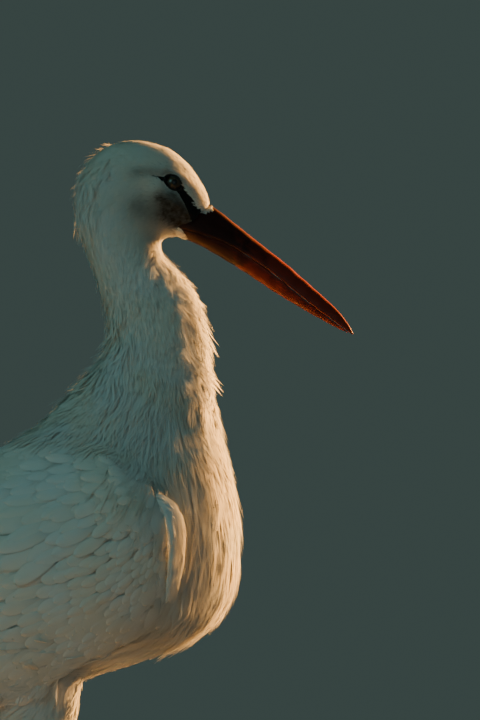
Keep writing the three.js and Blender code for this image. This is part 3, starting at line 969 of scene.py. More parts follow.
def store_regions(mesh, edges, shares):
    """Keeps with the skin how far it belongs to each region, where feathers have room to lie."""
    back, up = trunk_places(places(mesh))
    aside, facing_up = np.abs(places(mesh)[:, 1]), normals(mesh)[:, 2]
    clear, roomy = [relaxed(in_the_open(mesh, reach), edges, 2) for reach in (14 * MM, 26 * MM)]
    clear, roomy = ramp(0.5, 0.9, clear), ramp(0.5, 0.9, roomy)
    store(mesh, "open", relaxed(in_the_open(mesh, 5 * MM), edges, 1))
    middle = ramp(100 * MM, 140 * MM, back) * ramp(-20 * MM, 20 * MM, up)
    ridge = ramp(130 * MM, 160 * MM, back) * ramp(0.1, 0.4, facing_up)
    ridge *= 1 - ramp(8 * MM, 14 * MM, aside)
    near_middle = 1 - ramp(20 * MM, 28 * MM, aside)
    store(mesh, "saddle", shares["trunk"] * near_middle * np.maximum(middle, ridge) * clear)
    shares["trunk"] *= 1 - ramp(150 * MM, 180 * MM, back) * ramp(-0.5, -0.2, facing_up)
    shares["trunk"] *= 1 - middle
    shares["trunk"] *= roomy
    for name, share in shares.items():
        store(mesh, name, share * clear)


def make_skin():
    """One skin over all the feathered body, as deep inside the frame as the coat is thick."""
    skin = remeshed("skin", BODY_FLESH, SKIN_VOXEL)
    mesh = skin.data
    keep_largest(mesh)
    put_places(mesh, relaxed(places(mesh), edges_of(mesh), 14))
    fill_creases(mesh)
    refine_near_eyes(mesh)
    refine_near_eyes(mesh)
    edges = edges_of(mesh)
    put_places(mesh, relaxed(places(mesh), edges, 3))
    shares = region_shares(mesh)
    way, length, depth = coat_map(places(mesh), shares)
    depth = relaxed(depth, edges, 8)
    depth = relaxed(np.minimum(depth, DEEPEST * thickness(mesh)), edges, 2)
    put_places(mesh, relaxed(places(mesh) - normals(mesh) * depth[:, None], edges, 2))
    put_places(mesh, shape_face(places(mesh), normals(mesh)))
    store_lie(mesh, edges, way, length, depth)
    store_markings(mesh, shares)
    store_regions(mesh, edges, shares)
    hand_over(skin, under_skin(), BODY_FLESH)
    return skin


# ---- node trees for feathers
def modifier_tree(name, kinds):
    """An empty node tree with a shape input and these others by name, and a link to its start."""
    tree = bpy.data.node_groups.new(name, "GeometryNodeTree")
    faces = tree.interface
    faces.new_socket("Geometry", in_out="INPUT", socket_type="NodeSocketGeometry")
    for label, kind in kinds.items():
        faces.new_socket(label, in_out="INPUT", socket_type=f"NodeSocket{kind}")
    faces.new_socket("Geometry", in_out="OUTPUT", socket_type="NodeSocketGeometry")
    nodes = Nodes(tree)
    return nodes, nodes.make("NodeGroupInput")


def named(nodes, name, kind="FLOAT_VECTOR"):
    """A value that the mesh carries, in a modifier's tree."""
    settings = {"data_type": kind}
    return nodes.make("GeometryNodeInputNamedAttribute", settings, {"Name": name}, "Attribute")


def scatter_tree():
    """Strews points over a mesh, no two closer than a spacing and fewer where its mask is low."""
    nodes, start = modifier_tree("scatter", {"Spacing": "Float", "Seed": "Int"})
    spacing = start.other("Spacing")
    values = {"Mesh": start, "Distance Min": spacing, "Density Max": 3 / (spacing * spacing)}
    values |= {"Density Factor": named(nodes, "mask", "FLOAT"), "Seed": start.other("Seed")}
    settings = {"distribute_method": "POISSON"}
    points = nodes.make("GeometryNodeDistributePointsOnFaces", settings, values, "Points")
    roots = nodes.make("GeometryNodePointsToVertices", None, {"Points": points})
    nodes.make("NodeGroupOutput", None, {"Geometry": roots})
    return nodes.tree


def plant_tree():
    """Sets a feather at each root, lays it along the skin, and gives it its place in OFBake.

    A feather's own mesh lies flat from 0 to 1 along X. Each of its points is brought to the
    nearest place on the skin, and then out from it by the coat's depth there times its rise.
    """
    kinds = {"Skin": "Object", "Feathers": "Collection", "Finish": "Material"}
    nodes, start = modifier_tree("plant", kinds)
    axes = {"Primary Axis": named(nodes, "out"), "Secondary Axis": named(nodes, "way")}
    settings = {"primary_axis": "Z", "secondary_axis": "X"}
    turn = nodes.make("FunctionNodeAxesToRotation", settings, axes)
    choice = {"Collection": start.other("Feathers"), "Separate Children": True}
    choice["Reset Children"] = True
    feathers = nodes.make("GeometryNodeCollectionInfo", None, choice)
    values = {"Points": start, "Instance": feathers, "Pick Instance": True, "Rotation": turn}
    values |= {"Instance Index": named(nodes, "kind", "INT"), "Scale": named(nodes, "scale")}
    planted = nodes.make("GeometryNodeInstanceOnPoints", None, values)
    whole = nodes.make("GeometryNodeRealizeInstances", None, {"Geometry": planted})

    skin = nodes.make("GeometryNodeObjectInfo", None, {"Object": start.other("Skin")}, "Geometry")
    where = nodes.make("GeometryNodeInputPosition")

    def on_skin(value, kind):
        found = {"Mesh": skin, "Value": value, "Sample Position": where}
        return nodes.make("GeometryNodeSampleNearestSurface", {"data_type": kind}, found)

    along = named(nodes, "along", "FLOAT")
    depth = on_skin(named(nodes, "depth", "FLOAT"), "FLOAT")
    height = depth * named(nodes, "rise", "FLOAT") * named(nodes, "height", "FLOAT")
    height = height + named(nodes, "lift", "FLOAT") * along * along
    out = on_skin(named(nodes, "out"), "FLOAT_VECTOR")
    place = on_skin(where, "FLOAT_VECTOR").vector("ADD", out.vector("SCALE", height))
    whole = nodes.make("GeometryNodeSetPosition", None, {"Geometry": whole, "Position": place})

    patch = named(nodes, "patch").vector("SUBTRACT", (0.5, 0.5, 0)).vector("SCALE", PATCH)
    spot_on_map = named(nodes, "own").vector("ADD", patch)
    values = {"Geometry": whole, "Name": "OFBake", "Value": spot_on_map}
    settings = {"data_type": "FLOAT2", "domain": "CORNER"}
    whole = nodes.make("GeometryNodeStoreNamedAttribute", settings, values)
    values = {"Geometry": whole, "Material": start.other("Finish")}
    whole = nodes.make("GeometryNodeSetMaterial", None, values)
    nodes.make("NodeGroupOutput", None, {"Geometry": whole})
    return nodes.tree


def worked(piece, tree, values):
    """The piece after a node tree has worked on it, with the tree's inputs set by name."""
    change = piece.modifiers.new(tree.name, "NODES")
    change.node_group = tree
    for item in tree.interface.items_tree:
        if item.in_out == "INPUT" and item.name in values:
            change[item.identifier] = values[item.name]
    return finished(piece)


SCATTER, PLANT = scatter_tree(), plant_tree()


# ---- feather shapes
VANE_WIDTH = 0.27  # half the greatest width of the wings' vanes, as a share of their length
SLANT = 0.16  # how far forward barbs lean
# Kinds of tuft: the first one's seed and how many there are, the blades in each, the steps along
# a blade, half its width, the tuft's spread, how far blades bend, the shortest blade, how uneven
# their heights are, and how high their roots stand.
TUFTS = {
    "fluff": (0, 4, 4, 2, 0.055, 0.20, 0.10, 0.70, 0.12, 0.35),
    "rim": (150, 4, 6, 3, 0.030, 0.16, 0.30, 0.60, 0.20, -0.25),
    "hackle": (20, 4, 7, 3, 0.042, 0.16, 0.25, 0.70, 0.12, 0.35),
    "loose": (170, 5, 8, 3, 0.040, 0.17, 0.30, 0.70, 0.15, 0.20),
    "strand": (100, 5, 8, 6, 0.013, 0.11, 0.50, 0.55, 0.10, 0.50),
    "wisp": (130, 5, 5, 4, 0.030, 0.22, 0.40, 0.50, 0.20, 0.50),
    "wrist": (190, 5, 7, 4, 0.034, 0.14, 0.20, 0.60, 0.15, 0.25),
}
# Kinds of vane: the first one's seed and how many there are, the barbs to a side, half the width,
# how far the edge frays, how far it droops, and how high the root stands.
VANES = {
    "vane": (40, 4, 14, 0.24, 0.06, 0.08, 0.55),
    "covert": (60, 4, 16, VANE_WIDTH, 0.06, 0.20, 0.35),
    "scapular": (80, 4, 34, VANE_WIDTH, 0.05, 0.16, 0.35),
}


def new_sheet():
    return {"points": [], "faces": [], "rise": [], "along": [], "blade": [], "patch": []}


def add_point(sheet, x, y, rise, patch):
    sheet["points"].append((x, y, 0))
    sheet["rise"].append(rise)
    sheet["along"].append(x)
    sheet["blade"].append((x, y, 0))
    sheet["patch"].append((*patch, 0))


def add_blade(sheet, line, half, rise, lane, lanes):
    """A narrow blade along a line to a point: its half widths, heights, and lane in the patch."""
    way = unit(np.gradient(line, axis=0))
    side = np.column_stack([-way[:, 1], way[:, 0]])
    start, last = len(sheet["points"]), len(line) - 1
    for k, (place, beside) in enumerate(zip(line, side)):
        for s in (-1, 1) if k < last else (0,):
            x, y = place + beside * half[k] * s
            add_point(sheet, x, y, rise[k], (k / last, (lane + 0.5 + 0.45 * s) / lanes))
    for k in range(last - 1):
        a = start + 2 * k
        sheet["faces"].append((a, a + 2, a + 3, a + 1))
    a = start + 2 * (last - 1)
    sheet["faces"].append((a, a + 2, a + 1))


def rising(x, low):
    """How high a feather stands along its length, as a share of the coat's depth."""
    return low + (1 - low) * np.clip(x, 0, 1) ** 0.8


def tuft_shape(seed, blades, steps, width, spread, bend, short, uneven, low):
    """A tuft: fine blades from one root, side by side and bending a little each their own way."""
    rng = default_rng(seed)
    sheet = new_sheet()
    for k in range(blades):
        share = (k + 0.5) / blades * 2 - 1
        length = rng.uniform(short, 1.0) * (1 - 0.15 * share**2)
        t = np.linspace(0, 1, steps + 1)
        drift = share * spread * (0.35 + 0.65 * t) + rng.normal(0, bend) * t**2 * spread
        line = np.column_stack([t * length, drift])
        half = width * (1 - t**2.2) * rng.uniform(0.8, 1.2) * (0.55 + 0.9 * t)
        rise = rising(t * length, low) * (1 + rng.uniform(-uneven, uneven))
        add_blade(sheet, line, half, rise, k, blades)
    return sheet


def vane_half_width(t):
    """A body feather's outline: half its width along its length, as a share of the widest."""
    return np.sqrt(np.clip(np.sin(np.pi * np.clip(t, 0, 1) ** 0.85), 0, 1)) * (0.6 + 0.4 * t)


def vane_shape(seed, barbs, width, fray, cup, low):
    """A body feather: barbs joined into a vane by its shaft, and parting at its edge."""
    rng = default_rng(seed)
    sheet = new_sheet()
    t = 1 - (1 - np.linspace(0.0, 1.0, barbs + 1)) ** 1.6
    for k, x in enumerate(t):
        add_point(sheet, x * 0.97, 0, rising(x, low), (0.05 + 0.9 * x, 0.5))
    for s in (-1, 1):
        start = len(sheet["points"])
        wide = width * vane_half_width(t * 0.96 + 0.04)
        reach = t * 0.93 + SLANT * (1 - t**3) * 0.8
        for k, x in enumerate(t):
            for share in (0.5, 0.86):
                y = s * wide[k] * share
                px = x * 0.97 + (reach[k] - x * 0.97) * share * 0.9
                rise = rising(px, low) - cup * share**2
                add_point(sheet, px, y, rise, (0.05 + 0.9 * x, 0.5 + s * 0.45 * share))
        for k in range(barbs):
            mid, nxt = start + 2 * k, start + 2 * (k + 1)
            quads = [(k, k + 1, nxt, mid), (mid, nxt, nxt + 1, mid + 1)]
            sheet["faces"] += [q if s > 0 else q[::-1] for q in quads]
            x = (t[k] + t[k + 1]) / 2
            loose = fray * (1 - 0.6 * x)
            tip = 1 + rng.uniform(0.2, 1.0) * loose
            px = min(x * 0.95 + SLANT * (1 - x**3) + 0.5 * loose * rng.random(), 1.0)
            y = s * np.interp(x, t, wide) * tip
            rise = rising(px, low) - cup * tip**2 + rng.uniform(-0.04, 0.04)
            add_point(sheet, px, y, rise, (0.05 + 0.9 * x, 0.5 + s * 0.5))
            end = len(sheet["points"]) - 1
            tri = (mid + 1, nxt + 1, end)
            sheet["faces"].append(tri if s > 0 else tri[::-1])
    return sheet


def feather_set(name):
    """A collection of feathers of one kind, each with a seed of its own, to choose among."""
    shape = tuft_shape if name in TUFTS else vane_shape
    first, count, *numbers = (TUFTS | VANES)[name]
    kinds = bpy.data.collections.new(name)
    for k in range(count):
        sheet = shape(first + k, *numbers)
        mesh = bpy.data.meshes.new(f"{name}_{k}")
        mesh.from_pydata(sheet["points"], [], sheet["faces"])
        for key in ("rise", "along", "blade", "patch"):
            store(mesh, key, sheet[key])
        smooth_faces(mesh)
        kinds.objects.link(bpy.data.objects.new(f"{name}_{k}", mesh))
    return kinds


FEATHERS = {name: feather_set(name) for name in (*TUFTS, *VANES)}


# ---- coats
COAT_KEEPS = {"position", "smudge", "along", "blade", "OFBake", "sharp_face", "material_index"}


def unwrapped(piece):
    """Gives a mesh an unwrap of its own shape, over the whole square."""
    piece.data.uv_layers.new(name="own")
    bpy.context.view_layer.objects.active = piece
    piece.select_set(True)
    bpy.ops.object.mode_set(mode="EDIT")
    bpy.ops.mesh.select_all(action="SELECT")
    bpy.ops.uv.smart_project(angle_limit=1.2, island_margin=0.004, scale_to_bounds=True)
    bpy.ops.object.mode_set(mode="OBJECT")
    piece.select_set(False)


def ground(skin, name, mask):
    """The part of the skin where a mask is above nothing, with an unwrap of its own."""
    mesh = skin.data.copy()
    store(mesh, "mask", mask)
    with opened(mesh) as bm:
        bare = [f for f in bm.faces if max(mask[v.index] for v in f.verts) < 0.02]
        bmesh.ops.delete(bm, geom=bare, context="FACES")
    piece = linked(name, mesh)
    unwrapped(piece)
    return piece


def locks(co, way, length, rng, gap, draw):
    """Draws the tips of neighbouring feathers together, so that they lie in locks."""
    chosen = well_spaced(co, np.full(len(co), gap), rng)
    centres = point_tree(co[chosen])
    mine = np.array([chosen[centres.find(p)[1]] for p in co])
    tip = co + way * length[:, None]
    shared = co[mine] + way[mine] * length[:, None]
    return unit(tip + draw * (shared - tip) - co), mine


def groom(roots, rng, kind, turn=0.12, swell=0.2, vary=0.2, height=(0.85, 1.1), lift=0.0, lock=None,
          longer=1.0):
    """Gives each root its feather: which one, which way, how long, how wide and how high.

    A lock is the width of the cells whose feathers lie together, and how far their tips are drawn.
    """
    mesh = roots.data
    co, out, way = places(mesh), unit(stored(mesh, "out")), unit(stored(mesh, "lie"))
    count = len(co)
    length = stored(mesh, "size") * longer * rng.uniform(1 - vary, 1 + vary, count)
    way = turned(way, out, rng.normal(0, turn, count) + swell * waves(co, 30 * MM, rng))
    high = rng.uniform(*height, count)
    if lock:
        way, mine = locks(co, way, length, rng, *lock)
        high = 0.5 * high + 0.5 * high[mine]
    store(mesh, "way", way)
    store(mesh, "out", out)
    across = length * rng.uniform(0.85, 1.15, count)
    store(mesh, "scale", np.column_stack([length, across, length]))
    store(mesh, "kind", rng.integers(0, len(FEATHERS[kind].objects), count) + 0.1)
    store(mesh, "height", high)
    store(mesh, "lift", lift * rng.random(count) ** 3)


# Each coat's feathers and finish, how far apart they grow at the least, its seed and grooming.
COATS = {
    "head": ("fluff", "fine plumage", 1.3 * MM, 3, dict(
        turn=0.16, swell=0.12, lift=0.4 * MM, lock=(5 * MM, 0.3))),
    "neck": ("hackle", "fine plumage", 2.1 * MM, 5, dict(
        turn=0.14, swell=0.16, lift=1.5 * MM, lock=(10 * MM, 0.4), height=(0.8, 1.12))),
    "neck_base": ("loose", "shoulder plumage", 2.5 * MM, 6, dict(
        turn=0.16, lift=2.5 * MM, lock=(13 * MM, 0.55), height=(0.65, 1.3), longer=1.1)),
    "plumes": ("strand", "plume", 5.2 * MM, 13, dict(
        turn=0.07, swell=0.1, lift=5 * MM, lock=(15 * MM, 0.6), height=(0.7, 1.3), longer=2.3)),
    "wisps": ("wisp", "plume", 5.5 * MM, 17, dict(
        turn=0.3, lift=5 * MM, height=(1.1, 1.9), longer=1.25, vary=0.35)),
    "breast": ("vane", "body plumage", 6 * MM, 7, dict(swell=0.12, height=(0.8, 0.95))),
    "trunk": ("vane", "body plumage", 7 * MM, 9, dict(swell=0.12, height=(0.85, 1.05))),
    "flanks": ("loose", "body plumage", 4 * MM, 19, dict(
        turn=0.18, swell=0.15, lift=2 * MM, lock=(12 * MM, 0.5), height=(0.95, 1.35), longer=1.35)),
    "saddle": ("vane", "body plumage", 5 * MM, 15, dict(turn=0.2, longer=0.5)),
    "thighs": ("hackle", "fine plumage", 3.4 * MM, 11, {}),
}


def coat(name, skin, mask):
    """A coat over the part of the skin in a mask, as one plain mesh."""
    kind, finish, spacing, seed, grooming = COATS[name]
    roots = worked(ground(skin, f"coat_{name}", mask), SCATTER, {"Spacing": spacing, "Seed": seed})
    groom(roots, default_rng(seed), kind, **grooming)
    planted(roots, skin, kind, finish)


def roots_with(name, fields):
    """Roots at the places in "co", which carry the other numbers."""
    co = fields.pop("co")
    roots = mesh_object(name, co, [])
    for key, values in fields.items():
        store(roots.data, key, np.array(values))
    return roots


def planted(roots, skin, kind, finish):
    """The feathers on their roots, as one plain mesh riding with the body."""
    values = {"Skin": skin, "Feathers": FEATHERS[kind], "Finish": FINISHES[finish]}
    piece = worked(roots, PLANT, values)
    mesh = piece.data
    for name in [a.name for a in mesh.attributes if not a.name.startswith(".")]:
        if name not in COAT_KEEPS:
            mesh.attributes.remove(mesh.attributes[name])
    smooth_faces(mesh)
    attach(piece, "root")


# ---- the surface of a folded wing
STATIONS, STEPS = 80, 33  # back along the wing, and down its curve
WING_REACH = 0.14  # above and below the trunk's long axis
FAN = np.radians(np.arange(96, -86, -1.5))  # rays from above the wing round to below it


class WingSurface:
    """The outer face of one folded wing.

    A place on it is how far back it is along the trunk from the shoulders, and its share of the
    way down the wing's curve, from the edge by the back to the edge by the belly.
    """

    def __init__(self, side):
        self.sign = SIDES[side]
        mesh = joined_nodes([f"{part}_{side}" for part in WING_NODES])
        self.search = surface_tree(mesh)
        back, _ = trunk_places(places(mesh))
        self.back = np.linspace(back.min() + 2 * MM, back.max() - 2 * MM, STATIONS)
        levels = np.arange(-WING_REACH, WING_REACH, 1.5 * MM)
        met = [[q for q in levels if self.hit(p, q, 0.0) is not None] for p in self.back]
        self.low, self.high = np.array([(min(heights), max(heights)) for heights in met]).T
        middles = zip(self.back, (self.low + self.high) / 2)
        self.grid = smoothed([self.curve(p, q) for p, q in middles], 3)
        along, down = np.gradient(self.grid, axis=0), np.gradient(self.grid, axis=1)
        self.along, self.down, self.out = unit(along), unit(down), unit(np.cross(along, down))
        self.out *= np.sign((self.out[:, :, 1] * self.sign).mean())

    def hit(self, p, q, angle):
        """Where a ray from outside, towards a line inside the wing, first meets the wing."""
        way = BODY_UP * math.sin(angle) + np.array([0, self.sign * math.cos(angle), 0])
        middle = SHOULDER + BODY_BACK * p + BODY_UP * q
        found = self.search.ray_cast(Vector(middle + way * OUTSIDE), Vector(-way), OUTSIDE)[0]
        return None if found is None else np.array(found)

    def curve(self, p, q):
        """Places evenly down the wing's curve, seen from a line inside it at this height."""
        met = [self.hit(p, q, angle) for angle in FAN]
        line = np.array([place for place in met if place is not None])
        length = lengths_along(line)
        return read_off(line, length, np.linspace(0, length[-1], STEPS))

    def at(self, p, v, field=None):
        """The place, or another of the grid's fields, at these numbers back and down."""
        values = self.grid if field is None else field
        rows, columns = values.shape[:2]
        i = (np.asarray(p) - self.back[0]) / (self.back[1] - self.back[0])
        j = np.asarray(v) * (columns - 1)
        i, j = np.clip(i, 0, rows - 1.001), np.clip(j, 0, columns - 1.001)
        i0, j0 = i.astype(int), j.astype(int)
        a, b = (i - i0)[..., None], (j - j0)[..., None]
        front = values[i0, j0] * (1 - b) + values[i0, j0 + 1] * b
        rear = values[i0 + 1, j0] * (1 - b) + values[i0 + 1, j0 + 1] * b
        return front * (1 - a) + rear * a

    def front(self, q):
        """How far back the wing's front edge is at this height."""
        inside = (self.low[None] < q[:, None]) & (q[:, None] < self.high[None])
        first = np.where(inside.any(1), inside.argmax(1), np.abs(self.high).argmax())
        return self.back[first]

    def row(self, share):
        """A line of places down the wing, this share of the way from its edge to the black."""
        v = np.linspace(0.01, 0.99, 160)
        p = np.full(v.shape, 60 * MM)
        for _ in range(30):
            q = trunk_places(self.at(p, v))[1]
            wanted = (1 - share) * self.front(q) + share * (BLACK_START - BLACK_LEAN * q)
            p = p + 0.4 * (wanted - p)
        return p, v

    def spaced(self, p, v, gap, shift):
        """Places a gap apart along such a line."""
        length = lengths_along(self.at(p, v))
        stops = np.arange((0.5 + shift) * gap, length[-1], gap)
        return np.interp(stops, length, p), np.interp(stops, length, v)


def wing_roots(name, rows):
    """Roots on the wings. Each row gives one wing's surface, the places of its feathers back and
    down, how far their tips turn down, their length and width, and how high they stand."""
    fields = {key: [] for key in ("co", "way", "out", "scale", "height", "own")}
    for surface, p, v, fall, length, width, height in rows:
        count = len(p)
        out = unit(surface.at(p, v, surface.out))
        way = fall
        if np.ndim(fall) < 2:
            down = surface.at(p, v, surface.down) * np.asarray(fall)[..., None]
            way = surface.at(p, v, surface.along) + down
        fields["co"].append(surface.at(p, v))
        fields["out"].append(out)
        fields["way"].append(unit(way))
        size = [np.full(count, 1.0) * np.asarray(x) for x in (length, width)]
        fields["scale"].append(np.column_stack([size[0], size[1], size[0]]))
        fields["height"].append(np.full(count, 1.0) * np.asarray(height))
        share = (p - surface.back[0]) / (surface.back[-1] - surface.back[0])
        column = 0.02 + 0.46 * v + (0.5 if surface.sign < 0 else 0)
        fields["own"].append(np.column_stack([column, 0.02 + 0.96 * share, np.zeros(count)]))
    return roots_with(name, {key: np.concatenate(values) for key, values in fields.items()})


def spread_out(values):
    """Numbers moved and scaled to fill a map from side to side, but for a narrow margin."""
    start, end = values.min(), values.max()
    return 0.01 + (values - start) / (end - start) * 0.98


def settle(roots, rng, kind, turn, lift=0.0):
    """Gives the feathers set in rows their kinds, and a little unevenness."""
    mesh = roots.data
    count = len(mesh.vertices)
    out, way = stored(mesh, "out"), stored(mesh, "way")
    store(mesh, "way", turned(way, out, rng.normal(0, turn, count)))
    store(mesh, "kind", rng.integers(0, len(FEATHERS[kind].objects), count) + 0.1)
    store(mesh, "lift", lift * rng.random(count) ** 2)
    own = stored(mesh, "own")
    own[:, 0], own[:, 1] = spread_out(own[:, 0]), spread_out(own[:, 1])
    store(mesh, "own", own)


# Small feathers set one by one: their finish, their length and how it varies, their width as a
# share of that, how high they stand, and how far they turn and lift.
SMALL = {
    "wrist": ("wrist plumage", 20 * MM, (0.8, 1.2), 0.9, (0.5, 2.1), 0.10, 1.0 * MM),
    "rim": ("fine plumage", 6.5 * MM, (0.8, 1.15), 1.1, (0.8, 1.1), 0.2, 0.5 * MM),
}


def plant_small(kind, base, fields, rng):
    """Sets small feathers over a base, which is only there while they are planted."""
    finish, length, vary, wide, height, turn, lift = SMALL[kind]
    count = len(fields["co"])
    size = length * rng.uniform(*vary, count)
    fields["scale"] = np.column_stack([size, size * wide, size])
    fields["height"] = rng.uniform(*height, count)
    roots = roots_with(f"coat_{kind}", fields)
    settle(roots, rng, kind, turn, lift)
    planted(roots, base, kind, finish)
    remove(base)


COVERT_ROWS = 18
COVERT_GAPS = (5.5 * MM, 18 * MM)  # between rows, at the front edge and by the black
COVERT_WIDTHS = (8 * MM, 20 * MM)
LAST_ROW = 0.95  # past this share of the way to the black, coverts are wider and stand higher


def covert_row(surface, number, share, gap, rng):
    """One row of coverts, in the numbers that wing_roots asks for."""
    p, v = surface.row(max(share, 0.03))
    q = trunk_places(surface.at(p, v))[1]
    keep = surface.front(q) < BLACK_START - BLACK_LEAN * q - 8 * MM
    keep &= (q < 2 * MM) | (p > -12 * MM)
    width = np.interp(gap, COVERT_GAPS, COVERT_WIDTHS)
    p, v = surface.spaced(p[keep], v[keep], width * 0.72, 0.5 * (number % 2))
    count = len(p)
    p = p + rng.normal(0, 0.12 * gap, count)
    v = np.clip(v + rng.normal(0, 0.004, count), 0.005, 0.995)
    length = gap * 2.5 * rng.uniform(0.88, 1.12, count)
    width = width * (1.2 if share > LAST_ROW else 1.0)
    wide = width * rng.uniform(0.9, 1.1, count) / (2 * VANE_WIDTH)
    height = rng.uniform(0.8, 1.2, count) * np.interp(share, [0, 0.15], [0.4, 1])
    return surface, p, v, 0.10 * (v - 0.3), length, wide, height + 0.3 * (share > LAST_ROW)


def make_coverts(skin, wings):
    """The white coverts of both wings, in rows from the front edge to the black feathers."""
    rng = default_rng(21)
    gaps = np.linspace(*COVERT_GAPS, COVERT_ROWS)
    shares = np.concatenate([[0], gaps.cumsum()]) / gaps.sum()
    gaps = np.append(gaps, gaps[-1])
    rows = [
        covert_row(surface, number, share, gap, rng)
        for surface in wings.values()
        for number, (share, gap) in enumerate(zip(shares, gaps))
    ]
    roots = wing_roots("coat_coverts", rows)
    settle(roots, rng, "covert", 0.07)
    planted(roots, skin, "covert", "covert plumage")


# The roll of small feathers down a folded wing's front edge, from its top: back along the trunk,
# up across it, and half width, in millimetres.
WRIST = [
    (-43.7, 2.9, 2.0), (-45.7, -3.3, 4.5), (-50.1, -14.9, 6.8), (-48.4, -28.5, 7.6),
    (-40.9, -45.3, 7.0), (-31.6, -61.2, 6.2), (-18.0, -80.1, 4.5), (-7.5, -96.4, 2.5),
]
WRIST_OUT = 3 * MM  # how far the roll's feet stand off the skin
WRIST_STEPS = 64
WRIST_ACROSS = np.linspace(-1, 1, 19)
WRIST_CREST = -0.7  # where across the roll is highest
WRIST_RISE = 1.2  # how high that is, in half widths
WRIST_DEPTH = 1.6 * MM
# How far the roll's ends sink into the plumage: the shares of its length, and millimetres there.
WRIST_SUNK = ((0, 0.15, 0.35, 0.8, 1), (9, 4, 0, 0, 5))


def wrist_roll(sign, search):
    """Places, outward ways and downward ways over one wing's roll, along it and round it."""
    line = np.array(WRIST) * MM
    length = lengths_along(line[:, :2])
    line = smoothed(read_off(line, length, np.linspace(0, length[-1], WRIST_STEPS)), 16)
    middle = SHOULDER + BODY_BACK * line[:, :1] + BODY_UP * line[:, 1:2]
    aside = np.array([0, sign, 0])
    starts = middle + BODY_BACK * 8 * MM + aside * OUTSIDE
    found = [search.ray_cast(Vector(start), Vector(-aside))[0] for start in starts]
    sunk = np.interp(np.linspace(0, 1, WRIST_STEPS), *WRIST_SUNK) * MM
    middle[:, 1] = smoothed([hit.y for hit in found], 40) + sign * (WRIST_OUT - sunk)
    down = unit(np.gradient(middle, axis=0))
    ahead = unit(np.cross(down, aside))
    ahead *= np.sign(ahead[:, :1])
    from_crest = WRIST_ACROSS - WRIST_CREST
    rise = WRIST_RISE * (1 - (np.abs(from_crest) / (1 - WRIST_CREST * np.sign(from_crest))) ** 1.5)
    slope = np.gradient(rise, WRIST_ACROSS)[None, :, None]
    out = unit(aside - ahead[:, None] * slope)
    across = ahead[:, None] * WRIST_ACROSS[None, :, None] + aside * rise[None, :, None]
    grid = middle[:, None] + across * line[:, 2, None, None]
    return grid, out, np.broadcast_to(down[:, None], grid.shape)


def wrist_base(sheets):
    """The surface of both rolls, for their feathers to lie on while they are planted."""
    columns = len(WRIST_ACROSS)
    points = np.concatenate([grid.reshape(-1, 3) for grid, _, _ in sheets])
    starts = [k * WRIST_STEPS * columns for k in range(len(sheets))]
    faces = [f for start in starts for f in quads(WRIST_STEPS, columns, start)]
    faces = [(a, d, c, b) for a, b, c, d in faces]
    base = mesh_object("wrist base", points, faces)
    store(base.data, "out", np.concatenate([out.reshape(-1, 3) for _, out, _ in sheets]))
    store(base.data, "depth", np.full(len(points), WRIST_DEPTH))
    return base


def make_wrist(skin):
    """The smooth roll of small feathers down each wing's front edge."""
    rng = default_rng(23)
    search = surface_tree(skin.data)
    sheets = [wrist_roll(sign, search) for sign in SIDES.values()]
    fields = {key: [] for key in ("co", "way", "out", "own")}
    for sign, (grid, out, down) in zip(SIDES.values(), sheets):
        for i in range(0, WRIST_STEPS - 8, 2):
            for j in range(i // 2 % 2, len(WRIST_ACROSS), 2):
                fields["co"].append(grid[i, j])
                fields["out"].append(out[i, j])
                fields["way"].append(down[i, j])
                own = 0.25 * (2 + sign) + 0.22 * j / len(WRIST_ACROSS)
                fields["own"].append((own, i / WRIST_STEPS, 0))
    fields["co"] = np.array(fields["co"]) + rng.normal(0, 0.4 * MM, (len(fields["co"]), 3))
    plant_small("wrist", wrist_base(sheets), fields, rng)


# From the first row of scapulars to the last, at these shares of the way: their length, width
# and how far back the row starts in millimetres, and how far it reaches down the wing's curve.
SCAPULARS = [
    ((0, 0.45, 1), (26, 55, 88)),
    ((0, 1), (13, 28)),
    ((0, 1), (-32, 108)),
    ((0, 0.3, 1), (0.30, 0.46, 0.42)),
]
SCAPULAR_ROWS = 12
WING_DOWN = 215  # millimetres down the wing's whole curve, about


def scapular_row(surface, number, share, rng):
    """One row of scapulars, in the numbers that wing_roots asks for."""
    length, width, start, reach = [np.interp(share, *table) for table in SCAPULARS]
    count = int(reach * WING_DOWN / (0.62 * width))
    v = np.linspace(0.01, reach, count) + 0.015 * (number % 2)
    p = start * MM + 46 * MM * (1 - v / reach) * share + rng.normal(0, 0.06, count) * length * MM
    size = length * MM * rng.uniform(0.85, 1.15, count)
    wide = width * MM / (2 * VANE_WIDTH) * rng.uniform(0.85, 1.1, count)
    height = rng.uniform(1.05, 1.45, count) + 0.6 * share
    fall = 0.10 + 0.09 * rng.normal(size=count)
    return surface, p, v, fall, size, wide, height


def make_scapulars(skin, wings):
    """The long loose feathers that fall from the shoulders over the top of each wing."""
    rng = default_rng(22)
    rows = [
        scapular_row(surface, number, share, rng)
        for surface in wings.values()
        for number, share in enumerate(np.linspace(0, 1, SCAPULAR_ROWS))
    ]
    roots = wing_roots("coat_scapulars", rows)
    settle(roots, rng, "scapular", 0.08, 1.5 * MM)
    planted(roots, skin, "scapular", "covert plumage")


# ---- flight feathers
QUILL_ROWS, QUILL_COLUMNS = 26, 7
QUILL_ACROSS = np.linspace(-1, 1, QUILL_COLUMNS)
SHAFT_RISE, SHAFT_WIDTH = 0.45 * MM, 0.16  # the width as a share of the feather's
QUILL_DROOP = 0.8 * MM  # how far the edges lie below the middle
WING_SPLIT = 0.1  # how far a wing feather's middle lies to the side of its shaft


